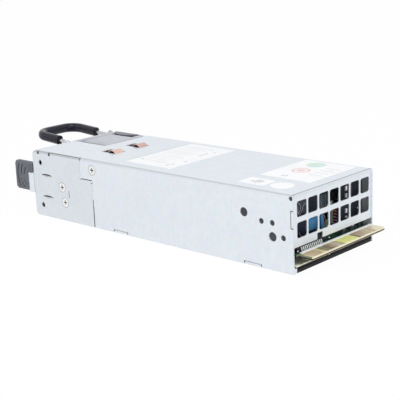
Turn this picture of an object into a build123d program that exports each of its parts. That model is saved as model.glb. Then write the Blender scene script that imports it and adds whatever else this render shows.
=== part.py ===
from build123d import *
import os
from math import cos, radians, sin

os.makedirs("parts", exist_ok=True)

# A hot swap power supply module, in millimetres.
# The origin is the centre of the case's underside, +X runs from the front,
# with its inlet, fan and bail, to the rear, with its contact tongue.
# +Y runs from the latch side to the fan side, and +Z is up.

# Case
case_length = 197.0
case_width = 69.0
case_height = 40.0
sheet = 0.8             # thickness of the steel sheets
bend = 1.4              # outer radius of a bend in the sheet
seam = 0.4              # open line between two sheets that lie flush
hairline = 0.08         # the same where the sheets nearly touch
slip = 0.3              # clearance between a wall and what moves or lies behind it

x_front = -case_length / 2
x_rear = case_length / 2
y_near = -case_width / 2
y_far = case_width / 2
near_inside = y_near + sheet
far_inside = y_far - sheet
roof = case_height - sheet

# Front bracket: the front plate and the flange on the latch side
flange_upper_length = 42.8      # from the front to the seam, above the step
flange_lower_length = 52.7      # the same, below the step
flange_step = case_height - 12.8    # height of the step in the seam
flange_step_gap = 0.8
flange_corner = 2.5
flange_top = case_height - 0.4
roof_setback = 2.0              # from the front plate to the roof's front edge
tab_length = 15.4               # joggled tab that carries the cover's side screw
tab_low = case_height - 9.4
# each side screw's distance from the front, and its height
side_screw_places = [(25.7, 20.1), (27.6, 11.1), (53.1, case_height - 6.0)]
side_screw_head = 2.8
side_screw_shank = 1.5
side_screw_length = 4.6
guide_start = 7.2               # lanced guides for the latch arm
guide_length = 9.9
guide_opening = 1.5
guide_depth = 1.6
guide_heights = (12.4, 25.6)
location_hole = 1.45
location_hole_x = 6.9
location_hole_heights = (6.6, case_height - 7.2)

# Rear vent plate
vent_recess = 0.5               # from the rear end of the case to the plate
vent_sheet = 0.6
vent_bottom = 13.1
window_columns = 7
window_rows = 2
window_rib = 1.1                # steel between two windows in a row
window_row_rib = 2.7            # steel between the two rows
window_near_margin = 4.0        # from the case's latch side to the first window
window_far_margin = 2.7
window_top_margin = 3.9
window_bottom_margin = 4.3      # from the plate's lower edge to the lower row
window_round = 1.2
notch_width = 4.5
notch_height = 3.2
notch_from_near = 22.6

# Fan
inlet_width = 19.8
fan_slip = 0.15                 # between the fan and the case's far side
fan_sink = 0.2                  # from the roof's outer face down to the fan's top
# the fan is as large as the height of the case allows, or else the width beside the inlet
fan_size = min(case_height - 4.0, case_width - inlet_width - 13.2)
fan_depth = 28.0
fan_flange = 4.0
fan_bore = fan_size / 2 - 1.4
fan_screw_spacing = fan_size - 7.0
fan_screw_radius = 1.5
fan_hub = 0.263 * fan_size
fan_tip_gap = 1.9
fan_blades = 7
fan_shaft = 1.5
shaft_gap = 0.05
fan_cut_length = 30.4           # opening in the roof over the fan
fan_cut_margin = 0.15           # between the fan and the opening's edge
guard_thickness = 1.0

fan_x = x_front + sheet
fan_y = far_inside - fan_slip - fan_size / 2
fan_z = case_height - fan_sink - fan_size / 2

# Inlet
inlet_height = 27.2
inlet_depth = 26.0
inlet_rim = 1.5
inlet_overhang = 0.8
socket_width = 16.6
socket_height = 24.4
socket_depth = 17.0
blade_pitch = 7.0
blade_width = 4.0
blade_thickness = 2.0
blade_offset = 2.0
inlet_y = y_near + 16.2
inlet_z = case_height / 2

# Bail
bail_half = fan_size / 2 - 2.4
bail_reach = 33.0
bail_wire_radius = 1.2
bail_grip_height = 5.8
bail_grip_width = 5.2
bail_grip_round = 2.3
bail_grip_groove = 0.35
bail_grip_start = 10.3
bail_corner = 9.0
bail_tilt = 4.0
bail_pivot_out = 4.2            # pivot's distance in front of the case
bail_pivot_height = case_height - 2.5
ear_gap = 1.7
ear_round = 2.4
pivot_gap = 0.08

bail_x = x_front - bail_pivot_out
bail_y = fan_y - 0.55

# Latch
latch_hinge = 19.4              # from the front to the line where the arm flexes
latch_low = 13.4
latch_high = 24.4
catch_low = 13.4
catch_high = 25.4
catch_length = 5.3
cap_low = 13.9
cap_high = 31.8
cap_length = 12.3
cap_thickness = 3.6
cap_proud = 0.4
rib_depth = 0.5

# Ground leaves in the roof
leaf_thickness = 0.3
leaf_width = 6.8
leaf_window_length = 13.4
leaf_window_width = 7.8
leaf_window_start = 40.3        # from the front to the windows
leaf_centres = (-11.4, 8.4)
leaf_rise = 1.3

# Boards
board_thickness = 1.6
board_top = 9.6
board_half = far_inside - 1.3
tongue = 8.8                    # how far the contact tongue stands past the case
tongue_setback = 1.8            # from the board's latch side to the tongue's
tongue_bevel = 0.4
plate_thickness = 0.25
plate_length = 6.9
# where each contact plate starts and ends, in shares of the tongue's width
plate_shares = [(0.005, 0.24), (0.284, 0.429), (0.441, 0.637), (0.668, 0.859), (0.875, 0.995)]
insulator_thickness = 0.6
insulator_top = 4.2
standoff_radius = 2.6
board_screw_radius = 1.5


def block(x0, x1, y0, y1, z0, z1, mode=Mode.ADD):
    """Add or cut a box between two corners."""
    with Locations(((x0 + x1) / 2, (y0 + y1) / 2, (z0 + z1) / 2)):
        Box(x1 - x0, y1 - y0, z1 - z0, mode=mode)


def rod_x(x0, x1, y, z, radius, mode=Mode.ADD):
    """Add or cut a cylinder that runs along X."""
    with Locations(Plane(origin=(x0, y, z), z_dir=(1, 0, 0))):
        Cylinder(radius, x1 - x0, align=(Align.CENTER, Align.CENTER, Align.MIN), mode=mode)


def rod_y(x, y0, y1, z, radius, mode=Mode.ADD):
    """Add or cut a cylinder that runs along Y."""
    with Locations(Plane(origin=(x, y0, z), z_dir=(0, 1, 0))):
        Cylinder(radius, y1 - y0, align=(Align.CENTER, Align.CENTER, Align.MIN), mode=mode)


def rod_z(x, y, z0, z1, radius, mode=Mode.ADD):
    """Add or cut an upright cylinder."""
    with Locations((x, y, z0)):
        Cylinder(radius, z1 - z0, align=(Align.CENTER, Align.CENTER, Align.MIN), mode=mode)


def side_countersink(distance, z):
    """Cut the countersunk hole of a side screw through the sheet on the latch side."""
    with Locations(Plane(origin=(x_front + distance, y_near, z), z_dir=(0, 1, 0))):
        Cone(side_screw_head + 0.05, side_screw_head - sheet + 0.05, sheet,
             align=(Align.CENTER, Align.CENTER, Align.MIN), mode=Mode.SUBTRACT)


def side_hole(x, z, radius):
    """Cut a plain round hole through the sheet on the latch side."""
    rod_y(x, y_near - sheet, near_inside + sheet / 2, z, radius, Mode.SUBTRACT)


# Cover: roof and both sides, bent from one sheet
seam_upper = x_front + flange_upper_length
seam_lower = x_front + flange_lower_length
leaf_window_x = x_front + leaf_window_start
tray_tabs = [(68.9, 11.4), (165.5, 11.4)]
tray_tab_height = 1.6
cable_hole = 2.4
rivet_hole = 1.5
side_holes = [
    (166.1, 27.2, cable_hole),
    (177.3, 24.3, rivet_hole),
    (184.2, 24.4, rivet_hole),
    (184.3, 17.3, cable_hole),
    (191.0, 17.7, rivet_hole),
]
vent_tab_low = case_height - 16.4
vent_tab_high = case_height - 7.8
vent_tab_length = 1.1
vent_x = x_rear - vent_recess - vent_sheet
relief_radius = 1.1
relief_x = x_rear - 1.2
relief_z = case_height - 1.7
seam_dark_top = 12.5
roof_seam_start = 15.5

with BuildPart() as cover:
    with BuildSketch(Plane.YZ.offset(x_front)) as cover_section:
        with Locations((0, case_height / 2)):
            Rectangle(case_width, case_height)
        fillet(cover_section.vertices().group_by(Axis.Y)[-1], radius=bend)
        with Locations((0, roof / 2)):
            Rectangle(case_width - 2 * sheet, roof, mode=Mode.SUBTRACT)
    extrude(amount=case_length)
    # room for the bracket's flange, which rises past the roof's edge, with the seam round it
    block(x_front - seam, seam_upper + hairline, y_near - seam, near_inside + hairline, -seam,
          case_height + seam, Mode.SUBTRACT)
    block(x_front + roof_seam_start, seam_upper + hairline, y_near - seam, near_inside + seam,
          roof - seam, case_height + seam, Mode.SUBTRACT)
    block(seam_upper - seam, seam_upper + 0.8, y_near - seam, near_inside + 0.6, roof - 1.2,
          case_height + seam, Mode.SUBTRACT)
    block(x_front - seam, seam_lower + hairline, y_near - seam, near_inside + hairline, -seam,
          flange_step + flange_step_gap, Mode.SUBTRACT)
    block(seam_lower - seam, seam_lower + seam, y_near - seam, near_inside + hairline, -seam,
          seam_dark_top, Mode.SUBTRACT)
    # the roof starts behind the front plate
    block(x_front - seam, x_front + roof_setback, y_near - seam, far_inside + seam, roof - seam,
          case_height + seam, Mode.SUBTRACT)
    # opening over the fan
    block(x_front - seam, x_front + fan_cut_length, fan_y - fan_size / 2 - fan_cut_margin,
          far_inside, roof - seam, case_height + seam, Mode.SUBTRACT)
    block(x_front - seam, x_front + fan_cut_length, far_inside - seam, y_far + seam,
          case_height - 0.6, case_height + seam, Mode.SUBTRACT)
    # room for the front plate's top and far edges
    block(x_front - seam, x_front + sheet, far_inside, y_far + seam, -seam, case_height, Mode.SUBTRACT)
    for centre in leaf_centres:
        block(leaf_window_x, leaf_window_x + leaf_window_length, centre - leaf_window_width / 2,
              centre + leaf_window_width / 2, roof - seam, case_height + seam, Mode.SUBTRACT)
    for distance, z, radius in side_holes:
        side_hole(x_front + distance, z, radius)
    side_countersink(*side_screw_places[2])
    for start, length in tray_tabs:
        for y0, y1 in ((y_near - seam, near_inside), (far_inside, y_far + seam)):
            block(x_front + start, x_front + start + length, y0, y1, -seam,
                  tray_tab_height, Mode.SUBTRACT)
    # open notches for the vent plate's side tabs, and the round relief at the rear corners
    for y0, y1 in ((y_near - seam, near_inside), (far_inside, y_far + seam)):
        block(vent_x - 0.2, x_rear + seam, y0, y1, vent_tab_low - 0.2, vent_tab_high + 0.2,
              Mode.SUBTRACT)
        block(x_rear - 0.5, x_rear + seam, y0, y1, vent_tab_low - 0.6, vent_tab_low, Mode.SUBTRACT)
        rod_y(relief_x, y0, y1, relief_z, relief_radius, Mode.SUBTRACT)
cover.part.label = "cover"
export_step(cover.part, "parts/cover.step")

# Front bracket: front plate, latch side flange, screw tab and bail ears
guard_hole = fan_bore
latch_notch = 5.2
plate_fold = 6.0
led_y = inlet_y + inlet_width / 2 + 2.4
led_z = case_height - 11.0
led_radius = 1.2
ear_inner = bail_half + ear_gap + bail_wire_radius

with BuildSketch() as guide_lens:
    with BuildLine():
        half = guide_length / 2
        ThreePointArc((-half, 0), (0, guide_opening / 2), (half, 0))
        ThreePointArc((half, 0), (0, -guide_opening / 2), (-half, 0))
    make_face()

with BuildPart() as front_bracket:
    with BuildSketch(Plane.XZ.offset(-y_near)) as flange_outline:
        with BuildLine():
            Polyline(
                (x_front, 0), (seam_lower, 0), (seam_lower, flange_step),
                (seam_upper, flange_step), (seam_upper, flange_top), (x_front, flange_top),
                close=True,
            )
        make_face()
        fillet(flange_outline.vertices().group_by(Axis.X)[0], radius=flange_corner)
        for distance in (5.4, 15.6):
            with Locations((x_front + distance, flange_top)):
                Rectangle(1.6, 3.6, mode=Mode.SUBTRACT)
        for z in location_hole_heights:
            with Locations((x_front + location_hole_x, z)):
                Circle(location_hole, mode=Mode.SUBTRACT)
                Rectangle(location_hole, location_hole, rotation=45,
                          align=(Align.MIN, Align.MIN), mode=Mode.SUBTRACT)
        for z in guide_heights:
            with Locations((x_front + guide_start + guide_length / 2, z)):
                add(guide_lens.sketch, mode=Mode.SUBTRACT)
        with Locations((x_front + 31.6, 16.6)):
            Rectangle(0.6, 4.2, mode=Mode.SUBTRACT)
    extrude(amount=-sheet)
    for place in side_screw_places[:2]:
        side_countersink(*place)
    # guides that keep the latch arm level, lanced inwards beside their slots
    for z in (guide_heights[0] - guide_opening / 2 - sheet, guide_heights[1] + guide_opening / 2):
        block(x_front + guide_start, x_front + guide_start + guide_length, near_inside,
              near_inside + guide_depth, z, z + sheet)
    # joggled tab behind the cover, for the cover's side screw
    block(seam_upper - tab_length / 2, seam_upper + tab_length, near_inside,
          near_inside + sheet, tab_low, roof - seam)
    rod_y(x_front + side_screw_places[2][0], near_inside, near_inside + sheet,
          side_screw_places[2][1], side_screw_head - sheet + 0.05, Mode.SUBTRACT)
    # front plate, and its fold under the roof beside the fan
    block(x_front, x_front + sheet, near_inside, y_far, 0, roof)
    block(x_front, x_front + plate_fold, near_inside, fan_y - fan_size / 2 - slip, roof - sheet, roof)
    for z0, z1 in ((-seam, flange_corner), (flange_top - flange_corner, flange_top + seam)):
        block(x_front - seam, x_front + sheet, near_inside, near_inside + flange_corner,
              z0, z1, Mode.SUBTRACT)
    block(x_front - seam, x_front + sheet, near_inside, near_inside + latch_notch,
          catch_low - slip, catch_high + slip, Mode.SUBTRACT)
    block(x_front - seam, x_front + sheet + seam, inlet_y - inlet_width / 2,
          inlet_y + inlet_width / 2, inlet_z - inlet_height / 2, inlet_z + inlet_height / 2,
          Mode.SUBTRACT)
    rod_x(x_front - seam, x_front + sheet + seam, fan_y, fan_z, guard_hole, Mode.SUBTRACT)
    rod_x(x_front - seam, x_front + sheet + seam, led_y, led_z, led_radius, Mode.SUBTRACT)
    with BuildSketch(Plane.YZ.offset(x_front)):
        with Locations((fan_y, fan_z)):
            with GridLocations(fan_screw_spacing, fan_screw_spacing, 2, 2):
                Circle(fan_screw_radius + 0.1)
    extrude(amount=sheet, mode=Mode.SUBTRACT)
    # ears that carry the bail
    for y0 in (bail_y - ear_inner - sheet, bail_y + ear_inner):
        with BuildSketch(Plane.XZ.offset(-y0)) as ear:
            with Locations((bail_x, bail_pivot_height)):
                Circle(ear_round)
            with Locations((bail_x + bail_pivot_out / 2, bail_pivot_height - ear_round / 2)):
                Rectangle(bail_pivot_out, 2 * ear_round)
            with Locations((bail_x, bail_pivot_height)):
                Circle(bail_wire_radius + pivot_gap, mode=Mode.SUBTRACT)
        extrude(amount=-sheet)
front_bracket.part.label = "front_bracket"
export_step(front_bracket.part, "parts/front_bracket.step")

# Chassis tray: the floor and its low side flanges
tray_flange_height = 7.0
tray_flange_start = 32.0
tray_x = x_front + sheet
foot_width = 1.9
foot_height = 2.8
foot_length = 2.0
sill_length = 4.4
sill_wrap = 1.4

with BuildPart() as chassis_tray:
    block(tray_x, x_rear, near_inside, far_inside, 0, sheet)
    for y0, y1 in ((near_inside, near_inside + sheet), (far_inside - sheet, far_inside)):
        block(x_front + tray_flange_start, x_rear - sill_length - slip, y0, y1, sheet,
              tray_flange_height)
    for start, length in tray_tabs:
        for y0, y1 in ((y_near, near_inside), (far_inside, y_far)):
            block(x_front + start + seam, x_front + start + length - seam, y0, y1, 0,
                  tray_tab_height - seam)
    block(x_rear - foot_length, x_rear, near_inside, near_inside + foot_width, sheet, foot_height)
    # the floor ends short of the rear, where the sill wraps round its edge
    block(x_rear - sill_wrap, x_rear + seam, near_inside + foot_width, far_inside + seam, -seam,
          sheet + seam, Mode.SUBTRACT)
chassis_tray.part.label = "chassis_tray"
export_step(chassis_tray.part, "parts/chassis_tray.step")

# Rear vent plate: windows, a notch over the signal header and two side tabs
plate_top = roof - 0.1
notch_y = y_near + notch_from_near
window_start = y_near + window_near_margin
window_span = y_far - window_far_margin - window_start
window_width = (window_span - window_rib * (window_columns - 1)) / window_columns
window_pitch = window_width + window_rib
window_y = window_start + window_span / 2
window_low = vent_bottom + window_bottom_margin
window_rise = case_height - window_top_margin - window_low
window_height = (window_rise - window_row_rib * (window_rows - 1)) / window_rows
window_row_pitch = window_height + window_row_rib
window_z = window_low + window_rise / 2

with BuildPart() as rear_vent_plate:
    with BuildSketch(Plane.YZ.offset(vent_x)) as vent_outline:
        with Locations((0, (vent_bottom + plate_top) / 2)):
            Rectangle(2 * far_inside, plate_top - vent_bottom)
        with Locations((window_y, window_z)):
            with GridLocations(window_pitch, window_row_pitch, window_columns, window_rows):
                RectangleRounded(window_width, window_height, window_round, mode=Mode.SUBTRACT)
        with Locations((notch_y, vent_bottom)):
            Rectangle(notch_width, 2 * notch_height, mode=Mode.SUBTRACT)
    extrude(amount=vent_sheet)
    for y0, y1 in ((y_near, near_inside), (far_inside, y_far)):
        block(vent_x, vent_x + vent_tab_length, y0, y1, vent_tab_low, vent_tab_high)
rear_vent_plate.part.label = "rear_vent_plate"
export_step(rear_vent_plate.part, "parts/rear_vent_plate.step")

# Insulating film behind the side holes
film_thickness = 0.4
film_start = 128.0

with BuildPart() as side_film:
    block(x_front + film_start, vent_x - slip, near_inside, near_inside + film_thickness,
          tray_flange_height + seam, roof - seam)
side_film.part.label = "side_film"
export_step(side_film.part, "parts/side_film.step")

# Countersunk side screws
side_screw_cone = side_screw_head - side_screw_shank
recess_depth = 0.9
recess_width = 0.7
recess_length = 3.0

with BuildPart() as side_screws:
    for distance, z in side_screw_places:
        x = x_front + distance
        with Locations(Plane(origin=(x, y_near, z), z_dir=(0, 1, 0))):
            Cone(side_screw_head, side_screw_shank, side_screw_cone,
                 align=(Align.CENTER, Align.CENTER, Align.MIN))
        rod_y(x, y_near + side_screw_cone, y_near + side_screw_length, z, side_screw_shank)
        block(x - recess_width / 2, x + recess_width / 2, y_near - seam, y_near + recess_depth,
              z - recess_length / 2, z + recess_length / 2, Mode.SUBTRACT)
        block(x - recess_length / 2, x + recess_length / 2, y_near - seam, y_near + recess_depth,
              z - recess_width / 2, z + recess_width / 2, Mode.SUBTRACT)
side_screws.part.label = "side_screws"
export_step(side_screws.part, "parts/side_screws.step")

# Screw bushes, pressed into the sheets behind the side screws
bush_radius = 2.6

# Latch: the root plate is fixed, and the arm flexes along one line in front of it
root_low = 7.6
root_high = 24.4
root_end = 32.6
latch_x = x_front + latch_hinge
root_y = near_inside
arm_y = near_inside + slip

with BuildPart() as latch_root:
    block(latch_x + slip / 2, x_front + root_end, root_y, root_y + sheet, root_low, root_high)
    for distance, z in side_screw_places[:2]:
        rod_y(x_front + distance, root_y + sheet, y_near + side_screw_length, z, bush_radius)
    for distance, z in side_screw_places[:2]:
        rod_y(x_front + distance, root_y, root_y + sheet, z,
              side_screw_head - sheet + 0.05, Mode.SUBTRACT)
        rod_y(x_front + distance, root_y + sheet, y_near + side_screw_length, z,
              side_screw_shank + 0.02, Mode.SUBTRACT)
latch_root.part.label = "latch_root"
export_step(latch_root.part, "parts/latch_root.step")

with BuildPart() as cover_bush:
    distance, z = side_screw_places[2]
    rod_y(x_front + distance, near_inside + sheet, y_near + side_screw_length, z, bush_radius)
    rod_y(x_front + distance, near_inside + sheet, y_near + side_screw_length, z,
          side_screw_shank + 0.02, Mode.SUBTRACT)
cover_bush.part.label = "cover_bush"
export_step(cover_bush.part, "parts/cover_bush.step")

jog_x = x_front - slip
catch_x = jog_x - catch_length
tongue_in_cap = 7.0
tongue_low = 16.5
tongue_high = 23.5

with BuildPart() as latch_arm:
    block(jog_x - sheet, latch_x - slip / 2, arm_y, arm_y + sheet, latch_low, latch_high)
    block(jog_x - sheet, jog_x, y_near, arm_y + sheet, catch_low, catch_high)
    block(catch_x, jog_x - sheet, y_near, near_inside, catch_low, catch_high)
    block(catch_x - tongue_in_cap, catch_x, y_near, near_inside, tongue_low, tongue_high)
latch_arm.part.label = "latch_arm"
export_step(latch_arm.part, "parts/latch_arm.step")

cap_y = y_near - cap_proud
cap_x = catch_x - cap_length
cap_round = 2.2
rib_centre_x = catch_x + 6.0
rib_centre_z = (cap_low + cap_high) / 2
rib_width = 0.9
rib_radii = (15.5, 12.4, 9.3)
rib_end = 1.8
cap_arm_low = catch_high + 0.5

with BuildPart() as latch_cap:
    with BuildSketch(Plane.XZ.offset(-cap_y)) as cap_outline:
        with BuildLine():
            Polyline(
                (cap_x, cap_low), (catch_x, cap_low), (catch_x, cap_arm_low),
                (jog_x - slip, cap_arm_low), (jog_x - slip, cap_high), (cap_x, cap_high),
                close=True,
            )
        make_face()
        fillet(cap_outline.vertices().group_by(Axis.X)[0], radius=cap_round)
    extrude(amount=-cap_thickness)
    chamfer(latch_cap.edges().filter_by(Axis.Z).sort_by(Axis.X)[:2], length=0.8)
    with BuildSketch(Plane.XZ.offset(-cap_y)):
        for radius in rib_radii:
            with Locations((rib_centre_x, rib_centre_z)):
                Circle(radius + rib_width / 2)
                Circle(radius - rib_width / 2, mode=Mode.SUBTRACT)
        with Locations(((cap_x + catch_x) / 2 - 0.4, rib_centre_z)):
            Rectangle(cap_length - 2.4, cap_high - cap_low - 2 * rib_end, mode=Mode.INTERSECT)
    extrude(amount=-rib_depth, mode=Mode.SUBTRACT)
    block(catch_x - tongue_in_cap, catch_x, y_near, near_inside, tongue_low, tongue_high,
          Mode.SUBTRACT)
latch_cap.part.label = "latch_cap"
export_step(latch_cap.part, "parts/latch_cap.step")

# Bail: a bent wire with a moulded grip, in a plane that tilts up from the ears
bail_plane = Plane(
    origin=(bail_x, bail_y, bail_pivot_height),
    x_dir=(0, 1, 0),
    z_dir=(sin(radians(bail_tilt)), 0, cos(radians(bail_tilt))),
)
bail_end = ear_inner + sheet + 0.2
bail_foot = 1.6
wire_points = [
    (-bail_end, 0), (-bail_half, 0), (-bail_half, bail_reach),
    (bail_half, bail_reach), (bail_half, 0), (bail_end, 0),
]
grip_points = [
    (-bail_half, bail_grip_start), (-bail_half, bail_reach),
    (bail_half, bail_reach), (bail_half, bail_grip_start),
]

with BuildPart() as bail_wire:
    with BuildLine(bail_plane) as wire_path:
        FilletPolyline(*wire_points, radius=[bail_foot, bail_corner, bail_corner, bail_foot])
    with BuildSketch(Plane(origin=wire_path.line @ 0, z_dir=wire_path.line % 0)):
        Circle(bail_wire_radius)
    sweep()
bail_wire.part.label = "bail_wire"
export_step(bail_wire.part, "parts/bail_wire.step")

with BuildPart() as bail_grip:
    with BuildLine(bail_plane) as grip_path:
        FilletPolyline(*grip_points, radius=bail_corner)
    with BuildSketch(Plane(origin=grip_path.line @ 0, x_dir=(0, 1, 0), z_dir=grip_path.line % 0)):
        RectangleRounded(bail_grip_width, bail_grip_height, bail_grip_round)
        with Locations((-bail_grip_width / 2, 0)):
            Rectangle(2 * bail_grip_groove, bail_grip_groove, mode=Mode.SUBTRACT)
        Circle(bail_wire_radius + 0.04, mode=Mode.SUBTRACT)
    sweep()
bail_grip.part.label = "bail_grip"
export_step(bail_grip.part, "parts/bail_grip.step")

# Fan frame: two square flanges, a body with rounder corners between them, and the motor seat
hub_seat = 3.0
strut_width = 2.2
body_inset = 0.2
body_corner = fan_size / 4

with BuildPart() as fan_frame:
    with BuildSketch(Plane.YZ.offset(fan_x)) as frame_square:
        with Locations((fan_y, fan_z)):
            RectangleRounded(fan_size, fan_size, 3.0)
    extrude(amount=fan_depth)
    with BuildSketch(Plane.YZ.offset(fan_x + fan_flange)):
        with Locations((fan_y, fan_z)):
            Rectangle(fan_size + 1, fan_size + 1)
            RectangleRounded(fan_size - 2 * body_inset, fan_size - 2 * body_inset, body_corner,
                             mode=Mode.SUBTRACT)
    extrude(amount=fan_depth - 2 * fan_flange, mode=Mode.SUBTRACT)
    rod_x(fan_x - 1, fan_x + fan_depth + 1, fan_y, fan_z, fan_bore, Mode.SUBTRACT)
    with BuildSketch(Plane.YZ.offset(fan_x)):
        with Locations((fan_y, fan_z)):
            with GridLocations(fan_screw_spacing, fan_screw_spacing, 2, 2):
                Circle(fan_screw_radius + 0.02)
    extrude(amount=fan_depth, mode=Mode.SUBTRACT)
    seat_x = fan_x + fan_depth - hub_seat
    rod_x(seat_x, fan_x + fan_depth, fan_y, fan_z, fan_hub)
    block(seat_x, fan_x + fan_depth, fan_y - fan_bore - 0.3, fan_y + fan_bore + 0.3,
          fan_z - strut_width / 2, fan_z + strut_width / 2)
    block(seat_x, fan_x + fan_depth, fan_y - strut_width / 2, fan_y + strut_width / 2,
          fan_z - fan_bore - 0.3, fan_z + fan_bore + 0.3)
fan_frame.part.label = "fan_frame"
export_step(fan_frame.part, "parts/fan_frame.step")

# Fan motor: windings round a bearing tube, on the seat
stator_radius = fan_hub - 2.6
stator_length = 15.0
bearing_length = 12.0

with BuildPart() as fan_stator:
    rod_x(seat_x - stator_length, seat_x, fan_y, fan_z, stator_radius)
    rod_x(seat_x - stator_length, seat_x - stator_length + bearing_length, fan_y, fan_z,
          fan_shaft + shaft_gap, Mode.SUBTRACT)
fan_stator.part.label = "fan_stator"
export_step(fan_stator.part, "parts/fan_stator.step")

# Fan rotor: a cup over the windings, its shaft, and twisted blades
cup_wall = 1.6
cup_length = 18.0
cup_front = seat_x - slip - cup_length
cup_inside = cup_front + cup_wall
blade_root = fan_hub - 0.6
blade_tip = fan_bore - fan_tip_gap
blade_chord = 12.0
blade_camber = 1.3
blade_wall = 1.0
root_angle = 52.0
tip_angle = 34.0

blade_middle = cup_front + cup_length / 2

with BuildPart() as fan_blade:
    for radius, angle in ((blade_root, root_angle), (blade_tip, tip_angle)):
        station = Plane(origin=(radius, 0, 0), x_dir=(0, 0, 1), z_dir=(1, 0, 0))
        with BuildSketch(station.rotated((0, 0, angle))):
            with BuildLine():
                half = blade_chord / 2
                ThreePointArc((-half, 0), (0, blade_camber), (half, 0))
                ThreePointArc((half, 0), (0, blade_camber + blade_wall), (-half, 0))
            make_face()
    loft()

with BuildPart() as fan_rotor:
    rod_x(cup_front, seat_x - slip, fan_y, fan_z, fan_hub)
    rod_x(cup_inside, seat_x, fan_y, fan_z, fan_hub - cup_wall, Mode.SUBTRACT)
    rod_x(cup_front, seat_x - stator_length + bearing_length - 1.0, fan_y, fan_z, fan_shaft)
    fillet(fan_rotor.edges().filter_by(GeomType.CIRCLE).sort_by(Axis.X)[0], radius=1.2)
    with Locations(Plane(origin=(blade_middle, fan_y, fan_z), x_dir=(0, 1, 0), z_dir=(1, 0, 0))):
        with PolarLocations(0, fan_blades):
            add(fan_blade.part)
fan_rotor.part.label = "fan_rotor"
export_step(fan_rotor.part, "parts/fan_rotor.step")

# Stamped finger guard and its four screws
guard_x = x_front - guard_thickness
guard_rings = [fan_bore * share for share in (0.26, 0.49, 0.72, 0.945)]
guard_ring_width = 1.3
guard_eye = 2.3
screw_head = 2.2
screw_head_height = 1.5
fan_screw_length = 9.0

with BuildPart() as fan_guard:
    with BuildSketch(Plane.YZ.offset(guard_x)):
        with Locations((fan_y, fan_z)):
            for radius in reversed(guard_rings):
                Circle(radius + guard_ring_width / 2)
                Circle(radius - guard_ring_width / 2, mode=Mode.SUBTRACT)
            for angle in (45, 135):
                Rectangle(fan_screw_spacing * 2 ** 0.5, 1.6, rotation=angle)
            with GridLocations(fan_screw_spacing, fan_screw_spacing, 2, 2):
                Circle(guard_eye)
                Circle(fan_screw_radius + 0.1, mode=Mode.SUBTRACT)
    extrude(amount=guard_thickness)
fan_guard.part.label = "fan_guard"
export_step(fan_guard.part, "parts/fan_guard.step")

with BuildPart() as fan_screws:
    with BuildSketch(Plane.YZ.offset(guard_x)):
        with Locations((fan_y, fan_z)):
            with GridLocations(fan_screw_spacing, fan_screw_spacing, 2, 2):
                Circle(screw_head)
    extrude(amount=-screw_head_height)
    with BuildSketch(Plane.YZ.offset(guard_x)):
        with Locations((fan_y, fan_z)):
            with GridLocations(fan_screw_spacing, fan_screw_spacing, 2, 2):
                Circle(fan_screw_radius)
    extrude(amount=fan_screw_length)
    with BuildSketch(Plane.YZ.offset(guard_x - screw_head_height)):
        with Locations((fan_y, fan_z)):
            with GridLocations(fan_screw_spacing, fan_screw_spacing, 2, 2):
                Rectangle(recess_length, recess_width)
                Rectangle(recess_width, recess_length)
    extrude(amount=recess_depth, mode=Mode.SUBTRACT)
fan_screws.part.label = "fan_screws"
export_step(fan_screws.part, "parts/fan_screws.step")

# Mains inlet, upright beside the fan
socket_corner = 4.0
blade_back = 34.0
blade_recess = 3.0

with BuildPart() as inlet_body:
    block(x_front, x_front + inlet_depth, inlet_y - inlet_width / 2, inlet_y + inlet_width / 2,
          inlet_z - inlet_height / 2, inlet_z + inlet_height / 2)
    with BuildSketch(Plane.YZ.offset(x_front - inlet_rim)):
        with Locations((inlet_y, inlet_z)):
            RectangleRounded(inlet_width + 2 * inlet_overhang, inlet_height + 2 * inlet_overhang, 1.5)
    extrude(amount=inlet_rim)
    with BuildSketch(Plane.YZ.offset(x_front - inlet_rim)) as socket:
        with Locations((inlet_y, inlet_z)):
            Rectangle(socket_width, socket_height)
        chamfer(socket.vertices().group_by(Axis.X)[-1], length=socket_corner)
    extrude(amount=socket_depth, mode=Mode.SUBTRACT)
    for number in (-1, 0, 1):
        side = blade_offset if number == 0 else -blade_offset
        block(x_front - inlet_rim, x_front + inlet_depth + 1, inlet_y + side - blade_width / 2,
              inlet_y + side + blade_width / 2, inlet_z + number * blade_pitch - blade_thickness / 2,
              inlet_z + number * blade_pitch + blade_thickness / 2, Mode.SUBTRACT)
inlet_body.part.label = "inlet_body"
export_step(inlet_body.part, "parts/inlet_body.step")

with BuildPart() as inlet_blades:
    for number in (-1, 0, 1):
        side = blade_offset if number == 0 else -blade_offset
        block(x_front - inlet_rim + blade_recess, x_front + blade_back,
              inlet_y + side - blade_width / 2, inlet_y + side + blade_width / 2,
              inlet_z + number * blade_pitch - blade_thickness / 2,
              inlet_z + number * blade_pitch + blade_thickness / 2)
inlet_blades.part.label = "inlet_blades"
export_step(inlet_blades.part, "parts/inlet_blades.step")

# Status lamp's light pipe
led_length = 14.0

with BuildPart() as led_pipe:
    rod_x(x_front - 0.8, x_front + led_length, led_y, led_z, led_radius)
    with Locations((x_front - 0.8, led_y, led_z)):
        Sphere(led_radius)
led_pipe.part.label = "led_pipe"
export_step(led_pipe.part, "parts/led_pipe.step")

# Ground leaves: each rises through its window, and is held behind it under the roof
leaf_root_x = leaf_window_x + leaf_window_length - 0.6
leaf_root_z = roof - 0.9
leaf_crest_x = leaf_root_x - 4.6
leaf_crest_z = case_height + leaf_rise
leaf_dip_x = leaf_root_x - 7.8
leaf_dip_z = roof - 0.8
leaf_tip_x = leaf_dip_x - 1.6
leaf_tip_z = leaf_dip_z - 2.0


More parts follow.
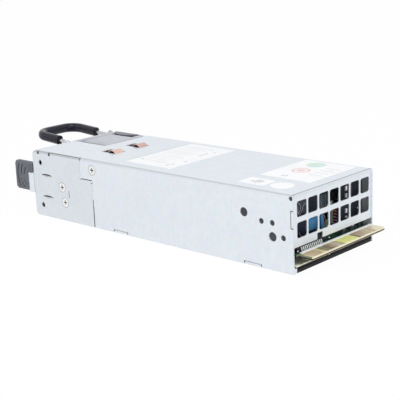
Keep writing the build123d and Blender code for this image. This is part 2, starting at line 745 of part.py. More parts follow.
def ground_leaf(centre):
    """Make one bowed copper leaf, centred on y."""
    with BuildPart() as leaf:
        with BuildSketch(Plane.XZ.offset(-centre)):
            with BuildLine() as bow:
                ThreePointArc((leaf_root_x, leaf_root_z), (leaf_crest_x, leaf_crest_z),
                              (leaf_dip_x, leaf_dip_z))
                Line((leaf_dip_x, leaf_dip_z), (leaf_tip_x, leaf_tip_z))
            trace(line_width=leaf_thickness)
        extrude(amount=leaf_width / 2, both=True)
    return leaf


ground_leaf_near = ground_leaf(leaf_centres[0])
ground_leaf_near.part.label = "ground_leaf_near"
export_step(ground_leaf_near.part, "parts/ground_leaf_near.step")

ground_leaf_far = ground_leaf(leaf_centres[1])
ground_leaf_far.part.label = "ground_leaf_far"
export_step(ground_leaf_far.part, "parts/ground_leaf_far.step")

with BuildPart() as leaf_mounts:
    for centre in leaf_centres:
        block(leaf_root_x + slip + leaf_thickness, leaf_root_x + 6.0, centre - leaf_width / 2,
              centre + leaf_width / 2, leaf_root_z - leaf_thickness / 2,
              leaf_root_z + leaf_thickness / 2)
        block(leaf_root_x + 2.0, leaf_root_x + 5.0, centre - leaf_width / 3,
              centre + leaf_width / 3, leaf_root_z + leaf_thickness / 2, roof)
leaf_mounts.part.label = "leaf_mounts"
export_step(leaf_mounts.part, "parts/leaf_mounts.step")

# Blank labels on the roof: each one's distance from the front, its length, and its margins
label_thickness = 0.12
main_label_start = 72.6
main_label_length = 34.4
main_label_near = 9.0
main_label_far = 6.0
rear_label_start = 156.2
rear_label_length = 32.6
rear_label_near = 25.3
rear_label_far = 3.0
small_label_length = 16.2
small_label_width = 11.6
small_label_near = 7.4
round_label_radius = 6.2
round_label_gap = 2.0


def label(x0, x1, y0, y1, corner):
    """Add a blank label that lies on the roof."""
    with BuildSketch(Plane.XY.offset(case_height)) as outline:
        with Locations(((x0 + x1) / 2, (y0 + y1) / 2)):
            RectangleRounded(x1 - x0, y1 - y0, corner)
    extrude(outline.sketch, amount=label_thickness)


with BuildPart() as main_label:
    main_label_x = x_front + main_label_start
    label(main_label_x, main_label_x + main_label_length, y_near + main_label_near,
          y_far - main_label_far, 1.0)
main_label.part.label = "main_label"
export_step(main_label.part, "parts/main_label.step")

with BuildPart() as rear_label:
    rear_label_x = x_front + rear_label_start
    label(rear_label_x, rear_label_x + rear_label_length, y_near + rear_label_near,
          y_far - rear_label_far, 1.0)
rear_label.part.label = "rear_label"
export_step(rear_label.part, "parts/rear_label.step")

with BuildPart() as small_labels:
    label(rear_label_x, rear_label_x + small_label_length, y_near + small_label_near,
          y_near + small_label_near + small_label_width, 0.6)
    with BuildSketch(Plane.XY.offset(case_height)):
        with Locations((
            rear_label_x + small_label_length + round_label_gap + round_label_radius,
            y_near + small_label_near + small_label_width / 2,
        )):
            Circle(round_label_radius)
    extrude(amount=label_thickness)
small_labels.part.label = "small_labels"
export_step(small_labels.part, "parts/small_labels.step")

# Main board, with its contact tongue past the rear of the case
board_x = x_front + 32.0
board_bottom = board_top - board_thickness
tongue_x = x_rear + tongue
standoff_y = board_half - 2.9
standoff_places = [(board_x + x, side * standoff_y) for x in (5.0, 77.0, 152.0) for side in (-1, 1)]
tongue_y = -board_half + tongue_setback

with BuildPart() as main_board:
    with BuildSketch(Plane.XY.offset(board_bottom)) as board_outline:
        with Locations(((board_x + tongue_x) / 2, 0)):
            Rectangle(tongue_x - board_x, 2 * board_half)
        with Locations(((x_rear + 0.2 + tongue_x) / 2, tongue_y - tongue_setback)):
            Rectangle(tongue - 0.2, 2 * tongue_setback, mode=Mode.SUBTRACT)
    extrude(amount=board_thickness)
    tip = main_board.faces().sort_by(Axis.X)[-1]
    chamfer(tip.edges().filter_by(Axis.Y), length=tongue_bevel, length2=tongue_bevel + 0.1)
    for x, y in standoff_places:
        rod_z(x, y, board_bottom - 1, board_top + 1, board_screw_radius + 0.1, Mode.SUBTRACT)
main_board.part.label = "main_board"
export_step(main_board.part, "parts/main_board.step")

with BuildPart() as board_standoffs:
    for x, y in standoff_places:
        rod_z(x, y, sheet, board_bottom, standoff_radius)
        rod_z(x, y, sheet, board_bottom, board_screw_radius + 0.02, Mode.SUBTRACT)
board_standoffs.part.label = "board_standoffs"
export_step(board_standoffs.part, "parts/board_standoffs.step")

board_screw_head = 2.6
with BuildPart() as board_screws:
    for x, y in standoff_places:
        rod_z(x, y, board_top, board_top + 1.4, board_screw_head)
        rod_z(x, y, board_bottom - 5.0, board_top, board_screw_radius)
        block(x - recess_length / 2, x + recess_length / 2, y - recess_width / 2,
              y + recess_width / 2, board_top + 0.7, board_top + 2, Mode.SUBTRACT)
board_screws.part.label = "board_screws"
export_step(board_screws.part, "parts/board_screws.step")

# Insulating sheet under the board, and the moulded sill under it at the rear
insulator_reach = 0.6
sill_rib = 0.4

with BuildPart() as insulator_sheet:
    block(x_front + tray_flange_start, x_rear + insulator_reach, near_inside + sheet + 0.1,
          far_inside - sheet - 0.1, insulator_top - insulator_thickness, insulator_top)
    for x, y in standoff_places:
        rod_z(x, y, 0, insulator_top + 1, standoff_radius + 0.1, Mode.SUBTRACT)
insulator_sheet.part.label = "insulator_sheet"
export_step(insulator_sheet.part, "parts/insulator_sheet.step")

with BuildPart() as rear_sill:
    sill_y = near_inside + foot_width + 0.1
    sill_end = far_inside - 0.1
    sill_top = insulator_top - insulator_thickness
    block(x_rear - sill_length, x_rear - sill_rib, sill_y, sill_end, sheet, sill_top)
    block(x_rear - sill_wrap + 0.1, x_rear - sill_rib, sill_y, sill_end, 0, sheet)
    block(x_rear - sill_rib, x_rear, sill_y, sill_end, 1.6, 2.0)
rear_sill.part.label = "rear_sill"
export_step(rear_sill.part, "parts/rear_sill.step")

# Contact plates on both faces of the tongue
plate_end = tongue_x - tongue_bevel - 0.1
plate_x = plate_end - plate_length


def contact_plate(number, z):
    """Add one contact plate on a face of the tongue, number counted from the latch side."""
    start, end = plate_shares[number]
    width = board_half - tongue_y
    block(plate_x, plate_end, tongue_y + start * width, tongue_y + end * width, z, z + plate_thickness)


with BuildPart() as output_plates:
    for number in (0, 1, 3, 4):
        contact_plate(number, board_top)
output_plates.part.label = "output_plates"
export_step(output_plates.part, "parts/output_plates.step")

with BuildPart() as sense_plate:
    contact_plate(2, board_top)
sense_plate.part.label = "sense_plate"
export_step(sense_plate.part, "parts/sense_plate.step")

with BuildPart() as lower_plates:
    for number in range(len(plate_shares)):
        contact_plate(number, board_bottom - plate_thickness)
lower_plates.part.label = "lower_plates"
export_step(lower_plates.part, "parts/lower_plates.step")

# Solder bar across the root of the tongue
bar_x = vent_x + vent_sheet + 0.2
with BuildPart() as solder_bar:
    block(bar_x, bar_x + 1.6, -board_half + 3.1, board_half - 0.1, board_top, board_top + 0.5)
solder_bar.part.label = "solder_bar"
export_step(solder_bar.part, "parts/solder_bar.step")

# Signal header behind the vent plate's lower edge, with its row of legs
header_x = vent_x - 0.5
header_depth = 4.4
header_start = 5.0
header_length = 23.5
header_height = 5.6
leg_count = 12
leg_start = 9.0
leg_pitch = 1.5
leg_width = 0.6
leg_height = 2.5
leg_lean = 0.9
leg_depth = 0.35
leg_foot = 0.9

with BuildPart() as signal_header:
    block(header_x - header_depth, header_x, y_near + header_start,
          y_near + header_start + header_length, board_top, board_top + header_height)
signal_header.part.label = "signal_header"
export_step(signal_header.part, "parts/signal_header.step")

with BuildPart() as signal_legs:
    for number in range(leg_count):
        y = y_near + leg_start + leg_pitch * number
        with BuildSketch(Plane.YZ.offset(header_x)):
            with BuildLine():
                Polyline(
                    (y - leg_width / 2, board_top), (y + leg_width / 2, board_top),
                    (y + leg_width / 2 - leg_lean, board_top + leg_height),
                    (y - leg_width / 2 - leg_lean, board_top + leg_height), close=True,
                )
            make_face()
        extrude(amount=leg_depth)
        block(header_x + leg_depth, header_x + leg_foot, y - leg_width / 2, y + leg_width / 2,
              board_top, board_top + leg_depth)
signal_legs.part.label = "signal_legs"
export_step(signal_legs.part, "parts/signal_legs.step")

# The pieces inside are placed and sized for this room on the board, and follow it in proportion
given_half = 32.4
given_headroom = 29.6


def across(y):
    """Scale a distance across the board with the board's width."""
    return y * board_half / given_half


def tall(height):
    """Scale a height over the board with the room under the roof."""
    return height * (roof - board_top) / given_headroom


# Small parts on the board, in view under the vent plate
with BuildPart() as board_chips:
    for x, y, length, width, height in (
        (-4.0, -1.2, 1.6, 2.4, 2.2), (-5.4, 3.2, 2.4, 4.0, 1.2), (-2.4, across(11.6), 1.8, 2.2, 1.8),
        (-2.9, across(15.0), 1.6, 1.6, 1.0), (-2.4, across(19.4), 1.8, 2.6, 1.8),
        (-2.8, across(23.2), 1.6, 2.4, 0.9), (-2.2, across(26.4), 1.4, 1.6, 1.6),
        (-1.6, across(29.6), 1.6, 2.4, 1.8),
    ):
        block(vent_x + x - length / 2, vent_x + x + length / 2, y - width / 2, y + width / 2,
              board_top, board_top + height)
board_chips.part.label = "board_chips"
export_step(board_chips.part, "parts/board_chips.step")

# Input filter: a small board on the inlet's blades, a box capacitor, a choke, a fuse, discs
filter_x = x_front + blade_back - board_thickness

with BuildPart() as filter_board:
    block(filter_x, filter_x + board_thickness, inlet_y - 10.6, inlet_y + 10.6, board_top,
          inlet_z + inlet_height / 2)
    for number in (-1, 0, 1):
        side = blade_offset if number == 0 else -blade_offset
        block(filter_x - 1, filter_x + board_thickness + 1, inlet_y + side - blade_width / 2,
              inlet_y + side + blade_width / 2,
              inlet_z + number * blade_pitch - blade_thickness / 2,
              inlet_z + number * blade_pitch + blade_thickness / 2, Mode.SUBTRACT)
filter_board.part.label = "filter_board"
export_step(filter_board.part, "parts/filter_board.step")

with BuildPart() as line_capacitor:
    block(x_front + 41.0, x_front + 58.0, across(-31.0), across(-19.0), board_top,
          board_top + tall(20.0))
    fillet(line_capacitor.edges().filter_by(Axis.Z), radius=1.0)
line_capacitor.part.label = "line_capacitor"
export_step(line_capacitor.part, "parts/line_capacitor.step")

choke_x = x_front + 47.0
choke_y = across(3.0)
choke_outer = tall(9.5)
choke_inner = tall(5.5)
choke_thickness = across(8.0)
winding_wall = 1.6
choke_z = board_top + winding_wall + choke_outer

with BuildPart() as choke_core:
    rod_y(choke_x, choke_y - choke_thickness / 2, choke_y + choke_thickness / 2, choke_z, choke_outer)
    rod_y(choke_x, choke_y - choke_thickness, choke_y + choke_thickness, choke_z, choke_inner,
          Mode.SUBTRACT)
choke_core.part.label = "choke_core"
export_step(choke_core.part, "parts/choke_core.step")

with BuildPart() as choke_winding:
    rod_y(choke_x, choke_y - choke_thickness / 2 - winding_wall,
          choke_y + choke_thickness / 2 + winding_wall, choke_z, choke_outer + winding_wall)
    rod_y(choke_x, choke_y - choke_thickness, choke_y + choke_thickness, choke_z,
          choke_inner - winding_wall, Mode.SUBTRACT)
    rod_y(choke_x, choke_y - choke_thickness / 2, choke_y + choke_thickness / 2, choke_z,
          choke_outer, Mode.SUBTRACT)
    rod_y(choke_x, choke_y - choke_thickness / 2, choke_y + choke_thickness / 2, choke_z,
          choke_inner)
    rod_y(choke_x, choke_y - choke_thickness, choke_y + choke_thickness, choke_z,
          choke_inner - winding_wall, Mode.SUBTRACT)
    block(choke_x - 1.5, choke_x + 1.5, choke_y - choke_thickness, choke_y + choke_thickness,
          board_top - 1, choke_z + choke_outer + 4, Mode.SUBTRACT)
choke_winding.part.label = "choke_winding"
export_step(choke_winding.part, "parts/choke_winding.step")

fuse_x = x_front + 62.0
with BuildPart() as line_fuse:
    rod_y(fuse_x, across(-29.0), across(-9.0), board_top + 3.0, 3.0)
    block(fuse_x - 2.0, fuse_x + 2.0, across(-27.0), across(-24.0), board_top, board_top + 1.0)
    block(fuse_x - 2.0, fuse_x + 2.0, across(-14.0), across(-11.0), board_top, board_top + 1.0)
line_fuse.part.label = "line_fuse"
export_step(line_fuse.part, "parts/line_fuse.step")

disc_radius = across(2.9)
with BuildPart() as disc_capacitors:
    for y in (across(16.8), across(22.8), across(28.8)):
        rod_x(x_front + 44.0, x_front + 47.0, y, board_top + 1.0 + disc_radius, disc_radius)
        block(x_front + 44.5, x_front + 46.5, y - 1.2, y + 1.2, board_top, board_top + 2.0)
disc_capacitors.part.label = "disc_capacitors"
export_step(disc_capacitors.part, "parts/disc_capacitors.step")

# Rectifier and boost stage
heatsink_x = x_front + 68.0
heatsink_top = board_top + tall(26.0)
heatsink_fins = 8

with BuildPart() as input_heatsink:
    block(heatsink_x, heatsink_x + 2.4, across(-30.0), across(30.0), board_top, heatsink_top)
    for number in range(heatsink_fins):
        y = across(-28.0) + across(56.0) * number / (heatsink_fins - 1)
        block(heatsink_x + 2.4, heatsink_x + 5.4, y - 0.6, y + 0.6, board_top + tall(4.0), heatsink_top)
input_heatsink.part.label = "input_heatsink"
export_step(input_heatsink.part, "parts/input_heatsink.step")

package_low = board_top + tall(6.0)
package_high = board_top + tall(21.0)

with BuildPart() as bridge_rectifier:
    block(heatsink_x - 3.6, heatsink_x, across(-28.0), across(-8.0), package_low, package_high)
    for number in range(4):
        y = across(-25.5 + 5.0 * number)
        block(heatsink_x - 2.4, heatsink_x - 1.2, y - 0.5, y + 0.5, board_top, package_low)
bridge_rectifier.part.label = "bridge_rectifier"
export_step(bridge_rectifier.part, "parts/bridge_rectifier.step")

with BuildPart() as switch_transistors:
    for middle in (2.0, 14.0, 26.0):
        block(heatsink_x - 4.5, heatsink_x, across(middle - 5.0), across(middle + 5.0),
              package_low, package_high)
        for leg in (-2.5, 0.0, 2.5):
            y = across(middle + leg)
            block(heatsink_x - 2.8, heatsink_x - 2.2, y - 0.4, y + 0.4, board_top, package_low)
switch_transistors.part.label = "switch_transistors"
export_step(switch_transistors.part, "parts/switch_transistors.step")

boost_x = x_front + 78.0
boost_y0 = across(-31.0)
boost_y1 = across(-9.0)
boost_wall = 4.0
boost_low = board_top + tall(5.0)
boost_high = board_top + tall(21.0)

with BuildPart() as boost_core:
    block(boost_x, boost_x + 24.0, boost_y0, boost_y1, board_top, board_top + tall(26.0))
    block(boost_x - 1, boost_x + 25.0, boost_y0 + boost_wall, boost_y1 - boost_wall, boost_low,
          boost_high, Mode.SUBTRACT)
    block(boost_x + 8.0, boost_x + 16.0, boost_y0 + boost_wall, boost_y1 - boost_wall, boost_low,
          boost_high)
boost_core.part.label = "boost_core"
export_step(boost_core.part, "parts/boost_core.step")

with BuildPart() as boost_winding:
    for start, end in ((1.0, 8.0), (16.0, 23.0)):
        block(boost_x + start, boost_x + end, boost_y0 + boost_wall + 0.2,
              boost_y1 - boost_wall - 0.2, boost_low + 0.2, boost_high - 0.2)
boost_winding.part.label = "boost_winding"
export_step(boost_winding.part, "parts/boost_winding.step")

bulk_radius = min(tall(13.5), across(13.5))
bulk_length = 44.0
with BuildPart() as bulk_capacitor:
    rod_x(x_front + 78.0, x_front + 78.0 + bulk_length, across(15.0), board_top + bulk_radius,
          bulk_radius)
    fillet(bulk_capacitor.edges().filter_by(GeomType.CIRCLE), radius=1.5)
bulk_capacitor.part.label = "bulk_capacitor"
export_step(bulk_capacitor.part, "parts/bulk_capacitor.step")

with BuildPart() as standby_transformer:
    block(x_front + 113.0, x_front + 129.0, across(-30.0), across(-14.0), board_top,
          board_top + tall(17.0))
    fillet(standby_transformer.edges().filter_by(Axis.Z), radius=1.0)
standby_transformer.part.label = "standby_transformer"
export_step(standby_transformer.part, "parts/standby_transformer.step")

# Main transformer, close behind the vent windows
transformer_front = x_front + 156.0
transformer_rear = x_front + 185.5
transformer_y0 = across(-9.5)
transformer_y1 = across(3.0)
winding_top = board_top + tall(13.6)
core_top = board_top + tall(25.4)

with BuildPart() as transformer_winding:
    block(transformer_front, transformer_rear, transformer_y0, transformer_y1, board_top, winding_top)
    fillet(transformer_winding.edges().filter_by(Axis.Z), radius=1.6)
transformer_winding.part.label = "transformer_winding"
export_step(transformer_winding.part, "parts/transformer_winding.step")

with BuildPart() as transformer_core:
    block(transformer_front + 1.0, transformer_rear - 0.6, transformer_y0, transformer_y1,
          winding_top, core_top)
    fillet(transformer_core.edges().group_by(Axis.Z)[-1], radius=0.8)
transformer_core.part.label = "transformer_core"
export_step(transformer_core.part, "parts/transformer_core.step")

# Output stage: finned heatsink, edge-wound coil, capacitors and the control board
sink_x = x_front + 176.0
sink_low = board_top + tall(10.0)
sink_high = board_top + tall(18.8)
sink_fin_places = (6.2, 8.7, 11.1, 14.3)
fin_half = 1.0
with BuildPart() as output_heatsink:
    block(sink_x, sink_x + 1.4, across(sink_fin_places[0]) - fin_half,
          across(sink_fin_places[-1]) + fin_half, board_top, sink_high)
    for place in sink_fin_places:
        y = across(place)
        block(sink_x + 1.4, sink_x + 5.5, y - fin_half, y + fin_half, sink_low, sink_high)
output_heatsink.part.label = "output_heatsink"
export_step(output_heatsink.part, "parts/output_heatsink.step")

coil_x = x_front + 184.8
coil_y = across(20.6)
coil_radius = across(4.4)
coil_bore = across(2.4)
turn_pitch = 1.8
turn_height = 1.2
turn_count = 7

with BuildPart() as output_coil:
    for number in range(turn_count):
        z = board_top + 0.6 + turn_pitch * number
        rod_z(coil_x, coil_y, z, z + turn_height, coil_radius)
    rod_z(coil_x, coil_y, board_top, board_top + 0.6 + turn_pitch * (turn_count - 1), coil_bore + 1.0)
    rod_z(coil_x, coil_y, board_top - 1, board_top + 30, coil_bore, Mode.SUBTRACT)
output_coil.part.label = "output_coil"
export_step(output_coil.part, "parts/output_coil.step")

with BuildPart() as coil_core:
    rod_z(coil_x, coil_y, board_top, board_top + turn_pitch * turn_count + 1.0, coil_bore - 0.05)
coil_core.part.label = "coil_core"
export_step(coil_core.part, "parts/coil_core.step")

can_radius = across(5.0)
can_height = tall(21.0)
can_places = [(185.1, -19.5), (174.2, -17.2), (174.2, -27.4), (163.6, -17.2), (163.6, -27.4)]
with BuildPart() as output_capacitors:
    for x, y in can_places:
        rod_z(x_front + x, across(y), board_top, board_top + can_height, can_radius)
    fillet(output_capacitors.edges().filter_by(GeomType.CIRCLE).group_by(Axis.Z)[-1], radius=0.8)
output_capacitors.part.label = "output_capacitors"
export_step(output_capacitors.part, "parts/output_capacitors.step")

# The control board stands across the case behind the windows on the fan side
control_x = vent_x - 5.6
control_y0 = across(12.9)
control_y1 = board_half - 0.2
control_top = board_top + tall(26.0)
with BuildPart() as control_board:
    block(control_x, control_x + 1.2, control_y0, control_y1, board_top, control_top)
control_board.part.label = "control_board"
export_step(control_board.part, "parts/control_board.step")

chip_depth = 0.7
with BuildPart() as control_chips:
    for low, high in ((21.3, 23.6), (17.4, 19.6), (9.2, 11.5), (6.4, 7.5)):
        block(control_x + 1.2, control_x + 1.2 + chip_depth, across(16.8), across(18.1),
              board_top + tall(low), board_top + tall(high))
    for y, low, width, height in ((28.9, 12.0, 3.6, 3.6), (28.9, 18.0, 3.6, 5.0)):
        block(control_x - 1.2, control_x, across(y - width / 2), across(y + width / 2),
              board_top + tall(low), board_top + tall(low + height))
control_chips.part.label = "control_chips"
export_step(control_chips.part, "parts/control_chips.step")
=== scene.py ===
# %% [markdown]
# A hot swap power supply module The solids come from CAD, in metres, in one fixed frame: +X
# runs from the front, with its bail and fan, to the rear, with its contact tongue. +Y runs
# from the latch side to the fan side and +Z is up. This lesson gives the solids their
# finishes, adds the small things that are easier to model here, and sets up a plain studio.

# %% Load the frame
import math

import bmesh
import bpy
from mathutils import Matrix, Vector


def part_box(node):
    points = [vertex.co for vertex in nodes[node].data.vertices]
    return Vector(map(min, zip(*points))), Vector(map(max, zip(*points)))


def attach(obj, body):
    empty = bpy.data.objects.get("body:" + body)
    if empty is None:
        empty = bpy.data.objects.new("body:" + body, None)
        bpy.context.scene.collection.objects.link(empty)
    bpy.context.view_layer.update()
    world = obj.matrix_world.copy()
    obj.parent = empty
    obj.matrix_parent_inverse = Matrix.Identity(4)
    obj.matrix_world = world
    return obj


MM = 0.001
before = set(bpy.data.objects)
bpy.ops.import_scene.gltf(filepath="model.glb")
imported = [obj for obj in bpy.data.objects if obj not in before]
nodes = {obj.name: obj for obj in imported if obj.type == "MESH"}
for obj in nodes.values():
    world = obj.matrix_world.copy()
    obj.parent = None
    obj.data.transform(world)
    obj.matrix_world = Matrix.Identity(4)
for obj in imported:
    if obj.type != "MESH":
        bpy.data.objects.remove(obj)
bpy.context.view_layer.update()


# %% [markdown]
# Camera
# The photograph was taken with a long lens from about 60 cm, 43 degrees round from the latch
# side towards the rear, and 15 degrees up. The module's uprights lean a little in the picture,
# so the camera also rolls by a few degrees about the line it looks along. A constraint could
# aim it, but a place and a direction turned into one matrix are easier to read and to repeat.

# %% Camera
CAMERA_PLACE = Vector((0.39376, -0.41626, 0.16718))
CAMERA_AIM = Vector((-0.65894, 0.70726, -0.25608))
CAMERA_ROLL = math.radians(-2.365)
LENS_MM = 93.64
SENSOR_MM = 36.0

camera_data = bpy.data.cameras.new("camera")
camera_data.lens = LENS_MM
camera_data.sensor_width = SENSOR_MM
camera_data.clip_start = 0.01
camera_data.clip_end = 20.0
camera = bpy.data.objects.new("camera", camera_data)
bpy.context.scene.collection.objects.link(camera)
level_turn = CAMERA_AIM.to_track_quat("-Z", "Y").to_matrix().to_4x4()
camera.matrix_world = (
    Matrix.Translation(CAMERA_PLACE) @ level_turn @ Matrix.Rotation(CAMERA_ROLL, 4, "Z")
)
bpy.context.scene.camera = camera
print("camera", round(CAMERA_PLACE.length, 3), "m from the module's middle")


# %% [markdown]
# Finishes as small trees
# Every finish below is a small tree: a Principled shader, one or two noises, a colour ramp
# between two near shades, and a bump. Each tree could be wired by hand, but a few helpers keep
# the trees alike and the cells short.

# %% A new finish
def new_finish(name, color, roughness, metallic=0.0, **sockets):
    """A material with its Principled shader set; returns the material, tree and shader."""
    material = bpy.data.materials.new(name)
    material.use_nodes = True
    tree = material.node_tree
    shader = tree.nodes["Principled BSDF"]
    shader.inputs["Base Color"].default_value = (*color, 1.0)
    shader.inputs["Roughness"].default_value = roughness
    shader.inputs["Metallic"].default_value = metallic
    for socket, value in sockets.items():
        shader.inputs[socket.replace("_", " ")].default_value = value
    material.diffuse_color = (*color, 1.0)
    return material, tree, shader


def add_node(tree, kind, **values):
    """A new node; values set its properties, or its input sockets where it has no such property."""
    node = tree.nodes.new(kind)
    for key, value in values.items():
        if hasattr(node, key):
            setattr(node, key, value)
        else:
            node.inputs[key.replace("_", " ")].default_value = value
    return node


def shade(color, factor):
    """A darker or lighter shade of a colour."""
    return tuple(min(1.0, c * factor) for c in color)


def tell(*finishes):
    """Print the names and the plain colours of finishes."""
    for finish in finishes:
        print(finish.name, [round(c, 3) for c in finish.diffuse_color[:3]])


# %% [markdown]
# Patterns
# A pattern could come from a picture, but that needs an unwrapped surface and shows its seams.
# Noises on Object coordinates cover every side of every piece alike. These coordinates are in
# metres here, so a scale of 1000 gives about one patch of noise per millimetre.

# %% Patterns
def stretched_noise(tree, scale, stretch=(1.0, 1.0, 1.0), detail=4.0, rough=0.6):
    """A noise on Object coordinates, drawn out along an axis by a small stretch value there."""
    place = add_node(tree, "ShaderNodeTexCoord")
    mapping = add_node(tree, "ShaderNodeMapping")
    mapping.inputs["Scale"].default_value = stretch
    noise = add_node(tree, "ShaderNodeTexNoise", Scale=scale, Detail=detail, Roughness=rough)
    tree.links.new(place.outputs["Object"], mapping.inputs["Vector"])
    tree.links.new(mapping.outputs["Vector"], noise.inputs["Vector"])
    return noise.outputs["Fac"]


def ramp(tree, factor, low, high, start=0.35, end=0.65):
    """A colour ramp between two shades."""
    node = add_node(tree, "ShaderNodeValToRGB")
    node.color_ramp.elements[0].position = start
    node.color_ramp.elements[0].color = (*low, 1.0)
    node.color_ramp.elements[1].position = end
    node.color_ramp.elements[1].color = (*high, 1.0)
    tree.links.new(factor, node.inputs["Fac"])
    return node.outputs["Color"]


def spread(tree, factor, low, high, start=0.3, end=0.7):
    """Map a factor to a range of numbers, for roughness."""
    node = add_node(tree, "ShaderNodeMapRange")
    node.inputs["From Min"].default_value = start
    node.inputs["From Max"].default_value = end
    node.inputs["To Min"].default_value = low
    node.inputs["To Max"].default_value = high
    tree.links.new(factor, node.inputs["Value"])
    return node.outputs["Result"]


# %% [markdown]
# Fine relief
# Grain and rolling lines are hundredths of a millimetre deep, too fine to model, so a bump
# stands for them. A Bevel node softens bent and moulded edges in the shading, because the CAD
# meshes themselves are left as they came.

# %% Fine relief
def bump(tree, shader, factor, strength, distance_mm):
    """A bump of a stated height in millimetres."""
    node = add_node(tree, "ShaderNodeBump", Strength=strength, Distance=distance_mm * MM)
    tree.links.new(factor, node.inputs["Height"])
    tree.links.new(node.outputs["Normal"], shader.inputs["Normal"])
    return node


def soft_edges(tree, bump_node, radius_mm):
    """Round the edges in the shading only, as a bent or moulded edge catches light."""
    node = add_node(tree, "ShaderNodeBevel", samples=4)
    node.inputs["Radius"].default_value = radius_mm * MM
    tree.links.new(node.outputs["Normal"], bump_node.inputs["Normal"])


# %% [markdown]
# Galvanized sheet
# The case is zinc coated steel. It is pale and slightly blue, with faint upright streaks on
# its sides, a soft crystal mottle and a few rubbed patches. A rough metal alone would look
# too dark between the lamps, so its metallic value stays below one, as a dull zinc skin does.
# The long bend between roof and side is painted darker, a painted shade on the bend. That bend
# could have a finish of its own, but it shares its mesh with the roof, so two steps on Object
# coordinates pick it out.

# %% Galvanized sheet
ZINC = (0.74, 0.785, 0.835)
BEND_LOW = 38.4 * MM        # height at which the cover's long bend begins
BEND_OUT = 32.9 * MM        # and the distance from the middle at which it ends on the roof
BEND_BLUR = 0.6 * MM
# painted shade: the bend is darkened to this share of the sheet's colour
BEND_PAINTED_SHADE = 0.72
STREAK_SCALE = 900.0
UPRIGHT = (1.0, 1.0, 0.07)
CRYSTAL_SCALE = 420.0
CRYSTAL_SHARE = 0.05
RUB_SCALE = 45.0


def bend_shade_mask(tree):
    """Mask for the painted shade: 1 on the cover's long bend on the latch side, 0 away from it."""
    place = add_node(tree, "ShaderNodeTexCoord")
    axes = add_node(tree, "ShaderNodeSeparateXYZ")
    tree.links.new(place.outputs["Object"], axes.inputs["Vector"])
    both = add_node(tree, "ShaderNodeMath", operation="MULTIPLY")
    for number, (axis, start, end) in enumerate((
        ("Z", BEND_LOW, BEND_LOW + BEND_BLUR), ("Y", -BEND_OUT, -BEND_OUT - BEND_BLUR),
    )):
        step = add_node(tree, "ShaderNodeMapRange")
        step.inputs["From Min"].default_value = start
        step.inputs["From Max"].default_value = end
        tree.links.new(axes.outputs[axis], step.inputs["Value"])
        tree.links.new(step.outputs["Result"], both.inputs[number])
    return both.outputs[0]


def zinc_sheet(name, color, roughness=0.42, metallic=0.62):
    """Zinc coated sheet: upright streaks, a crystal mottle, rubs, and painted shade on the bend."""
    material, tree, shader = new_finish(name, color, roughness, metallic)
    streaks = stretched_noise(tree, STREAK_SCALE, UPRIGHT, detail=4.0, rough=0.65)
    crystals = add_node(tree, "ShaderNodeTexVoronoi", Scale=CRYSTAL_SCALE)
    place = add_node(tree, "ShaderNodeTexCoord")
    tree.links.new(place.outputs["Object"], crystals.inputs["Vector"])
    base = ramp(tree, streaks, shade(color, 0.975), shade(color, 1.02), 0.3, 0.7)
    mottle = add_node(tree, "ShaderNodeMix", data_type="RGBA", blend_type="MULTIPLY")
    mottle.inputs["Factor"].default_value = CRYSTAL_SHARE
    tree.links.new(base, mottle.inputs["A"])
    tree.links.new(crystals.outputs["Color"], mottle.inputs["B"])
    # painted shade: the sheet is mixed towards a darker shade on the bend
    worked = add_node(tree, "ShaderNodeMix", data_type="RGBA")
    worked.inputs["B"].default_value = (*shade(color, BEND_PAINTED_SHADE), 1.0)
    tree.links.new(bend_shade_mask(tree), worked.inputs["Factor"])
    tree.links.new(mottle.outputs["Result"], worked.inputs["A"])
    tree.links.new(worked.outputs["Result"], shader.inputs["Base Color"])
    rubs = stretched_noise(tree, RUB_SCALE, (1.0, 1.0, 0.5), detail=6.0)
    tree.links.new(spread(tree, rubs, roughness * 0.88, roughness * 1.15),
                   shader.inputs["Roughness"])
    soft_edges(tree, bump(tree, shader, streaks, 0.25, 0.006), 0.35)
    return material


case_zinc = zinc_sheet("case_zinc", ZINC)
bracket_zinc = zinc_sheet("bracket_zinc", shade(ZINC, 0.94))
spring_zinc = zinc_sheet("spring_zinc", shade(ZINC, 1.02), 0.36, 0.7)
tell(case_zinc, bracket_zinc, spring_zinc)

# %% [markdown]
# Fasteners, wire and copper
# Screws are bright zinc or nickel plated, whiter than the sheet. The copper leaves are bare
# and a little pink, the far one redder than the near one. Worked metal has fine lines along
# one way. An anisotropic shader would stretch its highlights, but a noise drawn out along one
# axis shows the lines themselves, so it sets the gloss and the bump.

# %% Metals
LINE_DEPTH_MM = 0.004
METAL_EDGE_MM = 0.2


def worked_metal(name, color, roughness, stretch=(1.0, 1.0, 1.0), scale=900.0, variation=0.06,
                 metallic=1.0, **sockets):
    """Bare metal: fine lines of rolling or turning, faint stains, and gloss that follows them."""
    material, tree, shader = new_finish(name, color, roughness, metallic, **sockets)
    lines = stretched_noise(tree, scale, stretch, detail=3.0, rough=0.7)
    stains = stretched_noise(tree, 60.0, detail=4.0)
    tree.links.new(ramp(tree, stains, shade(color, 1 - variation), shade(color, 1 + variation)),
                   shader.inputs["Base Color"])
    tree.links.new(spread(tree, lines, roughness * 0.8, min(1.0, roughness * 1.25)),
                   shader.inputs["Roughness"])
    soft_edges(tree, bump(tree, shader, lines, 0.4, LINE_DEPTH_MM), METAL_EDGE_MM)
    return material


